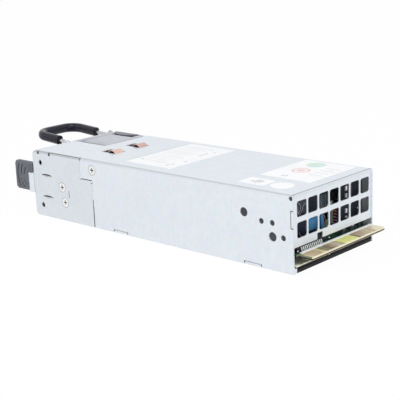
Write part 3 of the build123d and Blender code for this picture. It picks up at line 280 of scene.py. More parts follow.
ALONG_X = (0.1, 1.0, 1.0)
ALONG_Y = (1.0, 0.12, 1.0)
ALONG_Z = (1.0, 1.0, 0.08)
bright_screw = worked_metal("bright_screw", (0.86, 0.86, 0.84), 0.3, metallic=0.6)
bail_steel = worked_metal("bail_steel", (0.5, 0.5, 0.52), 0.22, ALONG_X)
pin_metal = worked_metal("pin_metal", (0.9, 0.92, 0.91), 0.28, metallic=0.4)
tinned_bar = worked_metal("tinned_bar", (0.93, 0.97, 0.97), 0.35, metallic=0.1)
leaf_copper = worked_metal("leaf_copper", (0.74, 0.55, 0.46), 0.34, ALONG_Y, metallic=0.7)
rosy_copper = worked_metal("rosy_copper", (0.62, 0.42, 0.38), 0.34, ALONG_Y, metallic=0.7)
wire_copper = worked_metal("wire_copper", (0.62, 0.27, 0.12), 0.3)
fin_aluminium = worked_metal("fin_aluminium", (0.52, 0.6, 0.72), 0.35, ALONG_Z, metallic=0.85)
tell(bright_screw, bail_steel, pin_metal, tinned_bar, leaf_copper, rosy_copper, wire_copper,
     fin_aluminium)

# %% [markdown]
# Contact plates
# The plates have a thin skin of gold over nickel, worn where the connector's springs have run
# along them, and each is worn in its own way. Each could have a material of its own, but the
# plates are one solid, so a ramp of many stops along the row gives each its shade.

# %% Contact plates
PLATES_START = -30.3
PLATES_END = 32.1
RUN_IN = (0.05, 1.0, 1.0)
RUN_IN_SCALE = 700.0


def gold_plates(name, start, end, shades):
    """Gold over nickel; shades are places from 0 to 1 along the row, the ends first."""
    material = worked_metal(name, (0.6, 0.48, 0.3), 0.36, RUN_IN, RUN_IN_SCALE, metallic=0.3)
    tree = material.node_tree
    shader = tree.nodes["Principled BSDF"]
    place = add_node(tree, "ShaderNodeTexCoord")
    axes = add_node(tree, "ShaderNodeSeparateXYZ")
    along = add_node(tree, "ShaderNodeMapRange")
    along.inputs["From Min"].default_value = start * MM
    along.inputs["From Max"].default_value = end * MM
    bands = add_node(tree, "ShaderNodeValToRGB")
    for number, (position, color) in enumerate(shades):
        if number < 2:
            stop = bands.color_ramp.elements[number]
            stop.position = position
        else:
            stop = bands.color_ramp.elements.new(position)
        stop.color = (*color, 1.0)
    worn = add_node(tree, "ShaderNodeMix", data_type="RGBA", blend_type="MULTIPLY")
    worn.inputs["Factor"].default_value = 1.0
    stains = stretched_noise(tree, 240.0, (0.4, 1.0, 1.0), detail=3.0)
    tree.links.new(place.outputs["Object"], axes.inputs["Vector"])
    tree.links.new(axes.outputs["Y"], along.inputs["Value"])
    tree.links.new(along.outputs["Result"], bands.inputs["Fac"])
    tree.links.new(bands.outputs["Color"], worn.inputs["A"])
    tree.links.new(ramp(tree, stains, (0.78, 0.76, 0.74), (1.0, 1.0, 1.0)), worn.inputs["B"])
    tree.links.new(worn.outputs["Result"], shader.inputs["Base Color"])
    return material


gold_skin = gold_plates("gold_skin", PLATES_START, PLATES_END, (
    (0.0, (0.74, 0.68, 0.42)), (1.0, (0.84, 0.78, 0.6)), (0.05, (0.62, 0.46, 0.28)),
    (0.13, (0.58, 0.43, 0.26)), (0.17, (0.84, 0.82, 0.42)), (0.2, (0.35, 0.26, 0.14)),
    (0.3, (0.41, 0.29, 0.18)), (0.38, (0.66, 0.58, 0.42)), (0.61, (0.36, 0.28, 0.17)),
    (0.7, (0.56, 0.42, 0.27)), (0.78, (0.62, 0.53, 0.36)), (0.86, (0.78, 0.66, 0.44)),
))
sense_skin = worked_metal("sense_skin", (0.86, 0.86, 0.3), 0.36, RUN_IN, RUN_IN_SCALE,
                          variation=0.1, metallic=0.25)
tell(gold_skin, sense_skin)

# %% [markdown]
# Plastics, films and ceramics
# The latch cap is a dull dark grey, the bail's grip is smoother and catches long highlights,
# and the parts inside are mostly black, apart from the blue tape round the transformer and the
# dark red varnish on the output coil. One helper makes them all, because moulded plastics
# differ only in shade, gloss and the depth of their grain.

# %% Plastics
def plain_plastic(name, color, roughness, grain_mm=0.25, depth_mm=0.01, variation=0.15,
                  edge_mm=0.25, **sockets):
    """Moulded plastic: a fine spark-eroded grain, and shade and gloss that drift a little."""
    material, tree, shader = new_finish(name, color, roughness, **sockets)
    drift = stretched_noise(tree, 90.0, detail=3.0)
    tree.links.new(ramp(tree, drift, shade(color, 1 - variation), shade(color, 1 + variation)),
                   shader.inputs["Base Color"])
    tree.links.new(spread(tree, drift, roughness * 0.9, min(1.0, roughness * 1.12)),
                   shader.inputs["Roughness"])
    grain = stretched_noise(tree, 1000.0 / grain_mm / 2, detail=2.0)
    soft_edges(tree, bump(tree, shader, grain, 0.5, depth_mm), edge_mm)
    return material


cap_plastic = plain_plastic("cap_plastic", (0.105, 0.11, 0.135), 0.5)
grip_plastic = plain_plastic("grip_plastic", (0.02, 0.02, 0.032), 0.1, 0.5, 0.001, IOR=1.3)
fan_grey = plain_plastic("fan_grey", (0.45, 0.46, 0.52), 0.32, variation=0.06)
fan_black = plain_plastic("fan_black", (0.035, 0.035, 0.042), 0.34)
black_plastic = plain_plastic("black_plastic", (0.024, 0.026, 0.034), 0.42)
sill_black = plain_plastic("sill_black", (0.01, 0.011, 0.014), 0.5, Specular_IOR_Level=0.2)
header_black = plain_plastic("header_black", (0.012, 0.015, 0.026), 0.5, Specular_IOR_Level=0.2)
chip_black = plain_plastic("chip_black", (0.05, 0.06, 0.06), 0.3, 0.4, 0.004)
film_black = plain_plastic("film_black", (0.03, 0.034, 0.045), 0.3, 0.6, 0.004)
clear_pipe = plain_plastic("clear_pipe", (0.75, 0.8, 0.78), 0.12, 0.8, 0.002,
                           Transmission_Weight=0.6)
ferrite_grey = plain_plastic("ferrite_grey", (0.022, 0.025, 0.036), 0.6, 0.15, 0.02)
blue_tape = plain_plastic("blue_tape", (0.06, 0.27, 0.56), 0.26, 0.7, 0.006, variation=0.22)
can_sleeve = plain_plastic("can_sleeve", (0.03, 0.036, 0.06), 0.16, 0.8, 0.003)
box_resin = plain_plastic("box_resin", (0.52, 0.38, 0.08), 0.35)
disc_glaze = plain_plastic("disc_glaze", (0.03, 0.13, 0.42), 0.2, 0.6, 0.01)
fuse_tube = plain_plastic("fuse_tube", (0.72, 0.69, 0.6), 0.25)
coil_varnish = plain_plastic("coil_varnish", (0.26, 0.03, 0.03), 0.2, 0.5, 0.006)
tell(cap_plastic, grip_plastic, fan_grey, film_black, blue_tape, coil_varnish)

# %% [markdown]
# Label paper
# The labels are white paper under a satin film, with a slight tooth. Paper could be a soft
# cloth-like shader, but the film makes it closer to a smooth plastic, so the same helper
# serves. Their prints are pieces of their own, further down, and say nothing.

# %% Label paper
label_paper = plain_plastic("label_paper", (0.88, 0.89, 0.91), 0.4, 0.35, 0.006, variation=0.02,
                            edge_mm=0.05)
tell(label_paper)

# %% [markdown]
# Circuit board
# A board is green lacquer over woven glass, with darker tracks under it. Its bevelled tip has
# no lacquer, so the cream resin shows there. Its edge and underside, below its top, are painted
# near black, a painted shade. The layers could be faces with slots of their own, but a CAD mesh
# has one slot, so steps on Object coordinates separate the lacquer, its greyer part on the
# tongue, the cream bevel and the painted shade below the top.

# %% Circuit board
BOARD_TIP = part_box("main_board")[1][0] - 0.55 * MM
BOARD_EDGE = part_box("main_board")[1][2] - 0.7 * MM
TONGUE_START = 98.6 * MM
TONGUE_SHADE = (0.2, 0.21, 0.15)
BARE_RESIN = (0.72, 0.68, 0.52)
# painted shade: the board's edge and underside are darkened for the shade they lie in
EDGE_PAINTED_SHADE = (0.035, 0.036, 0.03)
WEAVE_SCALE = 900.0
TRACK_SCALE = 500.0


def lacquered_board(name, lacquer, tracks):
    """A lacquered board: woven glass and tracks, then tongue, bevel and painted shade below, by
    place.
    """
    material, tree, shader = new_finish(name, lacquer, 0.5, Specular_IOR_Level=0.15)
    weave = add_node(tree, "ShaderNodeTexChecker", Scale=WEAVE_SCALE)
    blobs = stretched_noise(tree, TRACK_SCALE, (1.0, 0.5, 1.0), detail=1.0)
    place = add_node(tree, "ShaderNodeTexCoord")
    axes = add_node(tree, "ShaderNodeSeparateXYZ")
    tree.links.new(place.outputs["Object"], weave.inputs["Vector"])
    tree.links.new(place.outputs["Object"], axes.inputs["Vector"])
    layers = ramp(tree, blobs, lacquer, tracks, 0.45, 0.52)
    for axis, test, limit, color in (
        ("X", "GREATER_THAN", TONGUE_START, TONGUE_SHADE),
        ("X", "GREATER_THAN", BOARD_TIP, BARE_RESIN),
        ("Z", "LESS_THAN", BOARD_EDGE, EDGE_PAINTED_SHADE),
    ):
        beyond = add_node(tree, "ShaderNodeMath", operation=test)
        beyond.inputs[1].default_value = limit
        tree.links.new(axes.outputs[axis], beyond.inputs[0])
        mix = add_node(tree, "ShaderNodeMix", data_type="RGBA")
        mix.inputs["B"].default_value = (*color, 1.0)
        tree.links.new(beyond.outputs[0], mix.inputs["Factor"])
        tree.links.new(layers, mix.inputs["A"])
        layers = mix.outputs["Result"]
    tree.links.new(layers, shader.inputs["Base Color"])
    soft_edges(tree, bump(tree, shader, weave.outputs["Fac"], 0.2, 0.01), 0.15)
    return material


board_green = lacquered_board("board_green", (0.012, 0.05, 0.03), (0.03, 0.1, 0.055))
board_black = lacquered_board("board_black", (0.01, 0.013, 0.02), (0.018, 0.022, 0.034))
tell(board_green, board_black)

# %% [markdown]
# Bare glass sheet
# The insulator under the tongue is glass fibre sheet without lacquer, stained by its resin.
# Its olive is painted pale, a painted light that keeps it bright in the tongue's shadow.
# Its threads are too fine to model, so a fine checker stands for them in the bump.

# %% Bare glass sheet
CLOTH_SCALE = 1400.0


def bare_glass(name, color):
    """Unlacquered glass fibre sheet: woven threads and stains of resin."""
    material, tree, shader = new_finish(name, color, 0.45)
    cloth = add_node(tree, "ShaderNodeTexChecker", Scale=CLOTH_SCALE)
    place = add_node(tree, "ShaderNodeTexCoord")
    tree.links.new(place.outputs["Object"], cloth.inputs["Vector"])
    stains = stretched_noise(tree, 120.0, detail=3.0)
    tree.links.new(ramp(tree, stains, shade(color, 0.75), shade(color, 1.25)),
                   shader.inputs["Base Color"])
    soft_edges(tree, bump(tree, shader, cloth.outputs["Fac"], 0.3, 0.01), 0.1)
    return material


# painted light: the sheet's colour is made pale to stay bright in the tongue's shadow
olive_glass = bare_glass("olive_glass", (0.82, 0.85, 0.7))
tell(olive_glass)

# %% [markdown]
# Give every solid its finish
# A CAD solid arrives with one material slot. The finishes could be given where each is made,
# but one table shows at a glance what every solid is made of, and a solid that it forgets
# stops the script.

# %% Dress the solids
FINISHES = {
    "cover": case_zinc, "front_bracket": bracket_zinc, "chassis_tray": case_zinc,
    "rear_vent_plate": case_zinc, "latch_root": spring_zinc, "latch_arm": spring_zinc,
    "side_screws": bright_screw, "fan_screws": bright_screw, "board_screws": bright_screw,
    "cover_bush": bright_screw, "board_standoffs": bright_screw, "fan_guard": bail_steel,
    "bail_wire": bail_steel, "bail_grip": grip_plastic, "latch_cap": cap_plastic,
    "fan_frame": fan_grey, "fan_rotor": fan_black, "fan_stator": wire_copper,
    "inlet_body": black_plastic, "inlet_blades": pin_metal, "led_pipe": clear_pipe,
    "side_film": film_black, "rear_sill": sill_black, "insulator_sheet": olive_glass,
    "ground_leaf_near": leaf_copper, "ground_leaf_far": rosy_copper, "leaf_mounts": leaf_copper,
    "main_label": label_paper, "rear_label": label_paper, "small_labels": label_paper,
    "main_board": board_green, "filter_board": board_green, "control_board": board_black,
    "output_plates": gold_skin, "sense_plate": sense_skin, "lower_plates": gold_skin,
    "solder_bar": tinned_bar, "signal_header": header_black, "signal_legs": pin_metal,
    "board_chips": chip_black, "control_chips": pin_metal, "line_capacitor": box_resin,
    "standby_transformer": box_resin, "choke_core": ferrite_grey, "choke_winding": wire_copper,
    "line_fuse": fuse_tube, "disc_capacitors": disc_glaze, "input_heatsink": fin_aluminium,
    "output_heatsink": fin_aluminium, "bridge_rectifier": black_plastic,
    "switch_transistors": black_plastic, "boost_core": ferrite_grey, "boost_winding": wire_copper,
    "bulk_capacitor": can_sleeve, "output_capacitors": can_sleeve,
    "transformer_winding": blue_tape, "transformer_core": ferrite_grey,
    "output_coil": coil_varnish, "coil_core": ferrite_grey,
}
for name, solid in nodes.items():
    solid.data.materials.clear()
    solid.data.materials.append(FINISHES[name])
print("finished", len(nodes), "solids")


# %% [markdown]
# New pieces
# What follows is too small or too thin for the solids: the prints on the labels, dark lines in
# the seams, wires and small parts behind the vent windows. Each could be a mesh primitive added
# in the scene and moved about. A bmesh shaped by operators keeps several bars in one piece,
# measured in millimetres and then brought to metres, and its object stays at the origin.

# %% Helpers for new pieces
def finished_piece(name, mesh, material, body="case"):
    """Turn a bmesh that was made in millimetres into an object that rides on a body."""
    bmesh.ops.recalc_face_normals(mesh, faces=mesh.faces)
    bmesh.ops.scale(mesh, vec=(MM, MM, MM), verts=mesh.verts)
    open_edges = sum(not edge.is_manifold for edge in mesh.edges)
    data = bpy.data.meshes.new(name)
    mesh.to_mesh(data)
    mesh.free()
    data.materials.append(material)
    piece = bpy.data.objects.new(name, data)
    bpy.context.scene.collection.objects.link(piece)
    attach(piece, body)
    print(name, len(data.polygons), "faces,", open_edges, "open edges")


def add_bar(mesh, low, high, soft=0.0):
    """A bar between two corners; a soft value bevels its edges by so much."""
    size = Vector(high) - Vector(low)
    middle = (Vector(high) + Vector(low)) / 2
    stretch = Matrix.Translation(middle) @ Matrix.Diagonal((*size, 1.0))
    made = bmesh.ops.create_cube(mesh, size=1.0, matrix=stretch)
    if soft:
        edges = list({edge for vert in made["verts"] for edge in vert.link_edges})
        bmesh.ops.bevel(mesh, geom=edges, offset=soft, segments=2, affect="EDGES", profile=0.5,
                        material=-1)


def add_rod(mesh, start, end, radius, segments=20):
    """A round rod between two points."""
    start, end = Vector(start), Vector(end)
    turn = (end - start).to_track_quat("Z", "Y").to_matrix().to_4x4()
    bmesh.ops.create_cone(
        mesh, cap_ends=True, segments=segments, radius1=radius, radius2=radius,
        depth=(end - start).length, matrix=Matrix.Translation((start + end) / 2) @ turn,
    )


def add_blob(mesh, centre, size):
    """A small rounded lump, such as a pressed lip or a drop of solder."""
    place = Matrix.Translation(Vector(centre)) @ Matrix.Diagonal((*size, 1.0))
    bmesh.ops.create_icosphere(mesh, subdivisions=3, radius=0.5, matrix=place)


# %% [markdown]
# Where the case ends
# The seams are measured from the case's own edges. Their places could be typed in the frame's
# coordinates, but asking the cover's solid for its box keeps them on the sheet.

# %% Edges of the case
def edge_of(node, corner, axis):
    """Where a solid begins, corner 0, or ends, corner 1, along an axis, in millimetres."""
    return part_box(node)[corner]["XYZ".index(axis)] / MM


REAR = edge_of("cover", 1, "X")
FRONT = -REAR
NEAR = edge_of("cover", 0, "Y")
FAR = edge_of("cover", 1, "Y")
TOP = edge_of("cover", 1, "Z")
LENGTH = REAR - FRONT
PROUD = 0.01                # how far a line or a print stands above its sheet
print("case in mm:", [round(v, 2) for v in (FRONT, REAR, NEAR, FAR, TOP)])


def side_bar(mesh, along, up, deep=(-PROUD, 0.4), soft=0.0):
    """A bar on the latch side, by its spans from the front, from the floor and inwards."""
    add_bar(mesh, (FRONT + along[0], NEAR + deep[0], up[0]),
            (FRONT + along[1], NEAR + deep[1], up[1]), soft)


# %% [markdown]
# The roof's rear edge
# Two sheets that lie flush meet in a gap of a tenth of a millimetre or so, which reads as a
# line. The gap could be cut from the solids, but it is thinner than anything that fits or
# carries there, so bars are laid into it, proud of the sheet by a hundredth of a millimetre.
# Over the vent plate the line is a grey band along the roof's rear bend, a painted shade,
# paler than in the seams because some light falls into it.

# %% The roof's rear edge
EDGE_WIDTH = 1.2
EDGE_GAP = 0.12
# painted shade: a grey band along the roof's rear bend
painted_edge_shade = plain_plastic("painted_edge_shade", (0.34, 0.355, 0.39), 0.5, variation=0.08)
roof_edge = bmesh.new()
add_bar(roof_edge, (REAR - EDGE_WIDTH, NEAR + 1.0, TOP - 0.1),
        (REAR - EDGE_GAP, FAR - 1.0, TOP + PROUD))
finished_piece("roof_edge_shade", roof_edge, painted_edge_shade)

# %% [markdown]
# Seam lines
# The bracket's stepped seam and the edge of its flange under the roof are dark. Each line could
# be an object of its own, but they share one look, so one mesh gathers them all.

# %% Seam lines
seam_shade = plain_plastic("seam_shade", (0.035, 0.037, 0.042), 0.6, variation=0.1)
lines = bmesh.new()

STEP_UPRIGHT = 52.42, 52.94         # the bracket's stepped seam
STEP_LEVEL = 43.9, 51.5
FLANGE_EDGE = 15.5, 42.8            # under the roof, along the bracket's flange
side_bar(lines, STEP_UPRIGHT, (0.3, 16.6))
side_bar(lines, STEP_LEVEL, (27.5, 28.05))
side_bar(lines, FLANGE_EDGE, (39.2, 39.62), (0.6, 1.3))
print("seams:", len(lines.faces), "faces")

# %% [markdown]
# Notches and guides
# Small notches at the roof's and the floor's edge let tabs through, and two guides are lanced
# from the flange. Their openings are in the solids, and a dark bar in each is a painted shade
# for the dark inside. Like notches come from one loop over their places.

# %% Notches and guides
# painted shade: a dark bar inside each notch and guide
ROOF_NOTCHES = 5.4, 15.6
ROOF_NOTCH_HALF = 0.6
for middle in ROOF_NOTCHES:
    side_bar(lines, (middle - ROOF_NOTCH_HALF, middle + ROOF_NOTCH_HALF), (38.1, 39.5), (0.1, 0.3))

FLOOR_NOTCHES = 69.0, 80.1, 165.6, 176.7
FLOOR_NOTCH_HALF = 0.25
for middle in FLOOR_NOTCHES:
    side_bar(lines, (middle - FLOOR_NOTCH_HALF, middle + FLOOR_NOTCH_HALF), (0.5, 1.5),
             (-PROUD, 0.3))

GUIDES = 12.55, 25.75               # heights of the two lanced guides
GUIDE_SLOT = 8.2, 16.2
for height in GUIDES:
    side_bar(lines, GUIDE_SLOT, (height - 0.3, height + 0.35), (0.05, 0.4))
print("with notches and guides:", len(lines.faces), "faces")

# %% [markdown]
# The vent plate's tab and the fan's painted shadow
# The vent plate's tab is bent round the rear corner and outlined by three lines. Beside the fan,
# two dark bars at the roof's opening are a painted shadow of the roof's edge on the fan, wider
# towards the rear.

# %% Tab and fan gap
TAB_START = LENGTH - 1.45           # the vent plate's tab, bent round the rear corner
TAB_LINE = 0.35
TAB_LOW, TAB_HIGH = 23.4, 32.3
TAB_DEEP = (-PROUD, 0.3)
side_bar(lines, (TAB_START, TAB_START + TAB_LINE), (TAB_LOW, TAB_HIGH), TAB_DEEP)
side_bar(lines, (TAB_START + TAB_LINE, LENGTH - 0.1), (TAB_HIGH - TAB_LINE, TAB_HIGH), TAB_DEEP)
side_bar(lines, (TAB_START + TAB_LINE, LENGTH - 0.05), (TAB_LOW - 0.3, TAB_LOW + 0.2), TAB_DEEP)

FAN_GAP = -2.75                     # the near edge of the roof's opening, beside the fan
# painted shadow: dark bars where the roof's edge shades the fan
FAN_SHADOW_PARTS = ((1.4, 12.0, -2.3), (12.0, 30.2, -1.75))
for start, end, inner in FAN_SHADOW_PARTS:
    add_bar(lines, (FRONT + start, FAN_GAP, TOP - 0.3), (FRONT + end, inner, TOP + PROUD))
finished_piece("seams_and_painted_shade", lines, seam_shade)

# %% [markdown]
# Round relief
# Where the cover's roof and side are bent towards the rear corner, a round hole keeps the
# sheet from tearing. It is cut in the solid, and a dark disc just behind it, a painted shade,
# closes the view into the case: a short rod, which has more sides than a small hole needs but
# stays round.

# %% Round relief
RELIEF_RADIUS = 1.0
RELIEF_X = REAR - 1.2
RELIEF_Z = 38.3
relief_disc = bmesh.new()
# painted shade: a dark disc behind the relief hole
add_rod(relief_disc, (RELIEF_X, NEAR + 0.3, RELIEF_Z), (RELIEF_X, NEAR + 0.6, RELIEF_Z),
        RELIEF_RADIUS)
finished_piece("relief_shade", relief_disc, seam_shade)

# %% [markdown]
# Bright lips
# The step of the seam and the two lanced guides have pressed lips. They are rounded, so a rod
# and two flattened balls make the step's lip and softened bars make the guides'. The lips take
# the screws' whiter metal, a painted highlight for the light they catch, and a darker pad behind
# each ball is a painted shade round it.

# %% Bright lips
ring_shade = plain_plastic("ring_shade", (0.2, 0.2, 0.21), 0.5, variation=0.1)
LIP_START, LIP_END, LIP_HEIGHT = 43.6, 51.8, 27.3
LIP_RADIUS = 0.24
LIP_ENDS = ((43.1, 28.2), (52.3, 26.9))
GUIDE_LIP = 9.2, 15.6

lips = bmesh.new()
lip_shade_pads = bmesh.new()
add_rod(lips, (FRONT + LIP_START, NEAR + 0.2, LIP_HEIGHT),
        (FRONT + LIP_END, NEAR + 0.2, LIP_HEIGHT), LIP_RADIUS)
# painted shade: a darker pad behind each ball of the step's lip
for along, height in LIP_ENDS:
    add_blob(lips, (FRONT + along, NEAR, height), (1.1, 0.4, 1.2))
    add_blob(lip_shade_pads, (FRONT + along, NEAR + 0.1, height - 0.25), (2.1, 0.36, 2.2))
finished_piece("lip_shade", lip_shade_pads, ring_shade)
for height in GUIDES:
    side_bar(lips, GUIDE_LIP, (height - 0.7, height - 0.35), (0.12, 0.6), soft=0.1)
# painted highlight: the lips take the screws' whiter metal
finished_piece("lips_painted_highlight", lips, bright_screw)

# %% [markdown]
# Side screws
# Each countersunk screw sits in a dimple whose rim is in shade, and its cross is dark. The
# cross is already cut in the solid, but at this size it hardly shows, so thin bars fill it
# with shade. The rim is a small rectangle spun once round the screw's axis.

# %% Side screws
SIDE_SCREWS = ((25.7, 20.1), (27.6, 11.1), (53.1, 34.0))
RIM_INNER, RIM_OUTER = 2.74, 2.98
CROSS_DEPTH = 0.86
CROSS_HEIGHT = 0.35
CROSS_ARM = 1.4
CROSS_HALF = 0.3


def add_ring(mesh, centre, axis, inner, outer, height, steps=40):
    """A flat ring: a small rectangle spun round an axis."""
    centre, axis = Vector(centre), Vector(axis).normalized()
    out = axis.orthogonal().normalized()
    corners = [centre + out * r + axis * h for r, h in (
        (inner, 0.0), (outer, 0.0), (outer, height), (inner, height))]
    verts = [mesh.verts.new(corner) for corner in corners]
    edges = [mesh.edges.new((verts[i], verts[(i + 1) % 4])) for i in range(4)]
    bmesh.ops.spin(mesh, geom=verts + edges, cent=centre, axis=axis, dvec=(0, 0, 0),
                   angle=math.tau, steps=steps, use_merge=True, use_duplicate=False)


rims = bmesh.new()
crosses = bmesh.new()
for along, z in SIDE_SCREWS:
    x = FRONT + along
    add_ring(rims, (x, NEAR + 0.2, z), (0, -1, 0), RIM_INNER, RIM_OUTER, 0.2 + PROUD)
    floor = NEAR + CROSS_DEPTH
    face = floor - CROSS_HEIGHT
    add_bar(crosses, (x - CROSS_HALF, face, z - CROSS_ARM), (x + CROSS_HALF, floor, z + CROSS_ARM))
    add_bar(crosses, (x - CROSS_ARM, face, z - CROSS_HALF), (x - CROSS_HALF, floor, z + CROSS_HALF))
    add_bar(crosses, (x + CROSS_HALF, face, z - CROSS_HALF), (x + CROSS_ARM, floor, z + CROSS_HALF))
finished_piece("screw_rings", rims, ring_shade)
finished_piece("screw_crosses", crosses, seam_shade)

# %% [markdown]
# Prints on the labels
# The labels carry nothing to read, only two plain pale dots, a few ruled grey lines and short
# ticks. Ink could be a pattern in the paper's material, but flat pieces that stand a hundredth
# of a millimetre above it keep sharp edges in every view.

# %% Dots
PAPER_TOP = edge_of("main_label", 1, "Z")
INK_LOW, INK_HIGH = PAPER_TOP - 0.02, PAPER_TOP + PROUD
GREEN_PLACE = 69.8, 23.9
GREEN_RADIUS = 5.4
PINK_PLACE = 70.7, 9.2
PINK_RADIUS = 2.4
PINK_RING = 3.6, 5.2
green_ink = plain_plastic("green_ink", (0.6, 0.76, 0.68), 0.45, variation=0.05, edge_mm=0.05)
pink_ink = plain_plastic("pink_ink", (0.82, 0.6, 0.6), 0.45, variation=0.05, edge_mm=0.05)

green_dot = bmesh.new()
add_rod(green_dot, (*GREEN_PLACE, INK_LOW), (*GREEN_PLACE, INK_HIGH), GREEN_RADIUS, segments=48)
finished_piece("green_dot", green_dot, green_ink)
pink_dot = bmesh.new()
add_ring(pink_dot, (*PINK_PLACE, INK_LOW), (0, 0, 1), *PINK_RING, INK_HIGH - INK_LOW, steps=48)
add_rod(pink_dot, (*PINK_PLACE, INK_LOW), (*PINK_PLACE, INK_HIGH), PINK_RADIUS, segments=32)
finished_piece("pink_dot", pink_dot, pink_ink)

# %% [markdown]
# Ruled lines and ticks
# The rows of lines differ only in place and length, so a loop works them out from a first row,
# a pitch and a stagger. The short ticks follow no rule, so they stay a list of places.

# %% Ruled lines and ticks
MAIN_ROWS, MAIN_FIRST, MAIN_PITCH = 10, 21.6, 4.2
MAIN_START, MAIN_END, MAIN_STAGGER = -22.5, -1.5, 2.6
MAIN_HALF = 0.15
REAR_ROWS, REAR_FIRST, REAR_PITCH = 4, 20.0, 5.0
REAR_START, REAR_END = 79.0, 87.5
REAR_HALF = 0.2
TICK_HALF = 0.3
TICKS = (
    (-22.0, -17.6, -15.6), (1.0, -21.2, -18.6), (2.4, -18.0, -15.4), (4.2, -9.9, -7.0),
    (0.6, 6.0, 9.4), (0.4, 10.2, 14.2), (2.4, 16.8, 18.6), (63.4, -23.6, -20.4),
    (65.4, -24.2, -18.4), (67.0, -24.2, -18.2), (68.6, -23.4, -18.8), (69.4, -6.2, -3.2),
    (71.2, -5.4, -2.4),
)
grey_ink = plain_plastic("grey_ink", (0.5, 0.51, 0.54), 0.5, variation=0.1, edge_mm=0.05)
dark_ink = plain_plastic("dark_ink", (0.3, 0.31, 0.33), 0.5, variation=0.1, edge_mm=0.05)

rules = bmesh.new()
for row in range(MAIN_ROWS):
    y = MAIN_FIRST - MAIN_PITCH * row
    end = MAIN_END - MAIN_STAGGER * (row % 3)
    add_bar(rules, (MAIN_START, y - MAIN_HALF, INK_LOW), (end, y + MAIN_HALF, INK_HIGH))
for row in range(REAR_ROWS):
    y = REAR_FIRST - REAR_PITCH * row
    add_bar(rules, (REAR_START, y - REAR_HALF, INK_LOW), (REAR_END, y + REAR_HALF, INK_HIGH))
finished_piece("ruled_lines", rules, grey_ink)

ticks = bmesh.new()
for x, start, end in TICKS:
    add_bar(ticks, (x - TICK_HALF, start, INK_LOW), (x + TICK_HALF, end, INK_HIGH))
finished_piece("plain_ticks", ticks, dark_ink)

# %% [markdown]
# Roof line
# The roof has a faint raised line before the main label. A bump would not show at a low angle,
# so it is a softened bar, three hundredths of a millimetre high.

# %% Roof line
LINE_START, LINE_END = -29.0, -27.9
fold = bmesh.new()
add_bar(fold, (LINE_START, -20.0, TOP - 0.1), (LINE_END, 30.0, TOP + 3 * PROUD), 0.02)
finished_piece("roof_line", fold, bracket_zinc)

# %% [markdown]
# Fan shade
# On the fan's far side, the recess between its flanges is in shade. Light alone would darken
# it, but the fan's upper side is nearly flush with the roof, so a thin half oval of a darker
# shade lies there: a face over points on an arc, drawn up by an extrusion.

# %% Fan shade
RECESS_X, RECESS_Y, RECESS_Z = -86.0, 33.45, 39.75
RECESS_HALF, RECESS_DEPTH = 10.5, 6.4
RECESS_STEPS = 16


def add_plate(mesh, corners, depth):
    """A flat plate: a face over its corners, drawn out by a vector."""
    face = mesh.faces.new([mesh.verts.new(corner) for corner in corners])
    made = bmesh.ops.extrude_face_region(mesh, geom=[face])
    moved = [part for part in made["geom"] if isinstance(part, bmesh.types.BMVert)]
    bmesh.ops.translate(mesh, vec=depth, verts=moved)


fan_shade = plain_plastic("fan_shade", (0.13, 0.135, 0.17), 0.4, variation=0.1)
half_oval = [
    (RECESS_X + RECESS_HALF * math.cos(angle), RECESS_Y - RECESS_DEPTH * math.sin(angle), RECESS_Z)
    for angle in (math.pi * step / RECESS_STEPS for step in range(RECESS_STEPS + 1))
]
recess = bmesh.new()
add_plate(recess, half_oval, (0, 0, 0.07))
finished_piece("fan_recess_shade", recess, fan_shade)

# %% [markdown]
# Wires behind the vent windows
# Thin pale wires show through the windows, small and partly hidden. A curve with a bevel would
# draw them, but a few rods with a ball in every bend are closed at once and light. Their
# points are given one by one, along the lines of sight through each window.

# %% Wires
def add_wire(mesh, points, radius):
    """A wire through a few points, with a ball in every bend."""
    for start, end in zip(points, points[1:]):
        add_rod(mesh, start, end, radius, segments=12)
    for point in points[1:-1]:
        bmesh.ops.create_uvsphere(mesh, u_segments=12, v_segments=8, radius=radius,
                                  matrix=Matrix.Translation(point))


WIRES = (
    (0.14, ((93.4, -23.9, 33.4), (93.2, -22.6, 32.9), (93.1, -21.4, 31.7), (93.0, -20.9, 30.2),
            (93.1, -21.6, 28.9), (93.2, -22.9, 28.2), (93.3, -24.2, 27.0))),
    (0.12, ((93.2, -16.9, 32.0), (93.2, -18.2, 31.6), (93.2, -19.4, 30.4), (93.2, -20.4, 28.6),
            (93.2, -21.4, 27.3), (93.2, -22.8, 26.6))),
    (0.12, ((93.3, -24.4, 31.2), (93.3, -23.6, 29.6), (93.3, -23.9, 28.0))),
    (0.12, ((93.2, -22.6, 17.6), (93.2, -21.8, 16.2), (93.2, -20.6, 15.6))),
    (0.16, ((88.2, 3.9, 20.4), (88.2, 4.6, 16.6), (88.2, 5.5, 12.2))),
    (0.14, ((88.2, 4.1, 20.8), (88.2, 6.6, 20.7), (88.2, 9.0, 20.0))),
    (0.14, ((88.2, 4.1, 20.6), (88.2, 5.4, 18.9), (88.2, 6.0, 17.3))),
)
wire_white = plain_plastic("wire_white", (0.5, 0.53, 0.58), 0.35, variation=0.05)
wires = bmesh.new()
for radius, points in WIRES:
    add_wire(wires, [Vector(point) for point in points], radius)
finished_piece("inner_wires", wires, wire_white)

# %% [markdown]
# Cards and wrap behind the windows
# Dark cards and a crinkled grey wrap fill the windows on the latch side. The dark cards are a
# painted shade for the inside of the case that lies in shade behind the windows. Only their
# faces show, so each is a plain bar with softened edges, and the wrap's creases are left to
# the drift of its shade.

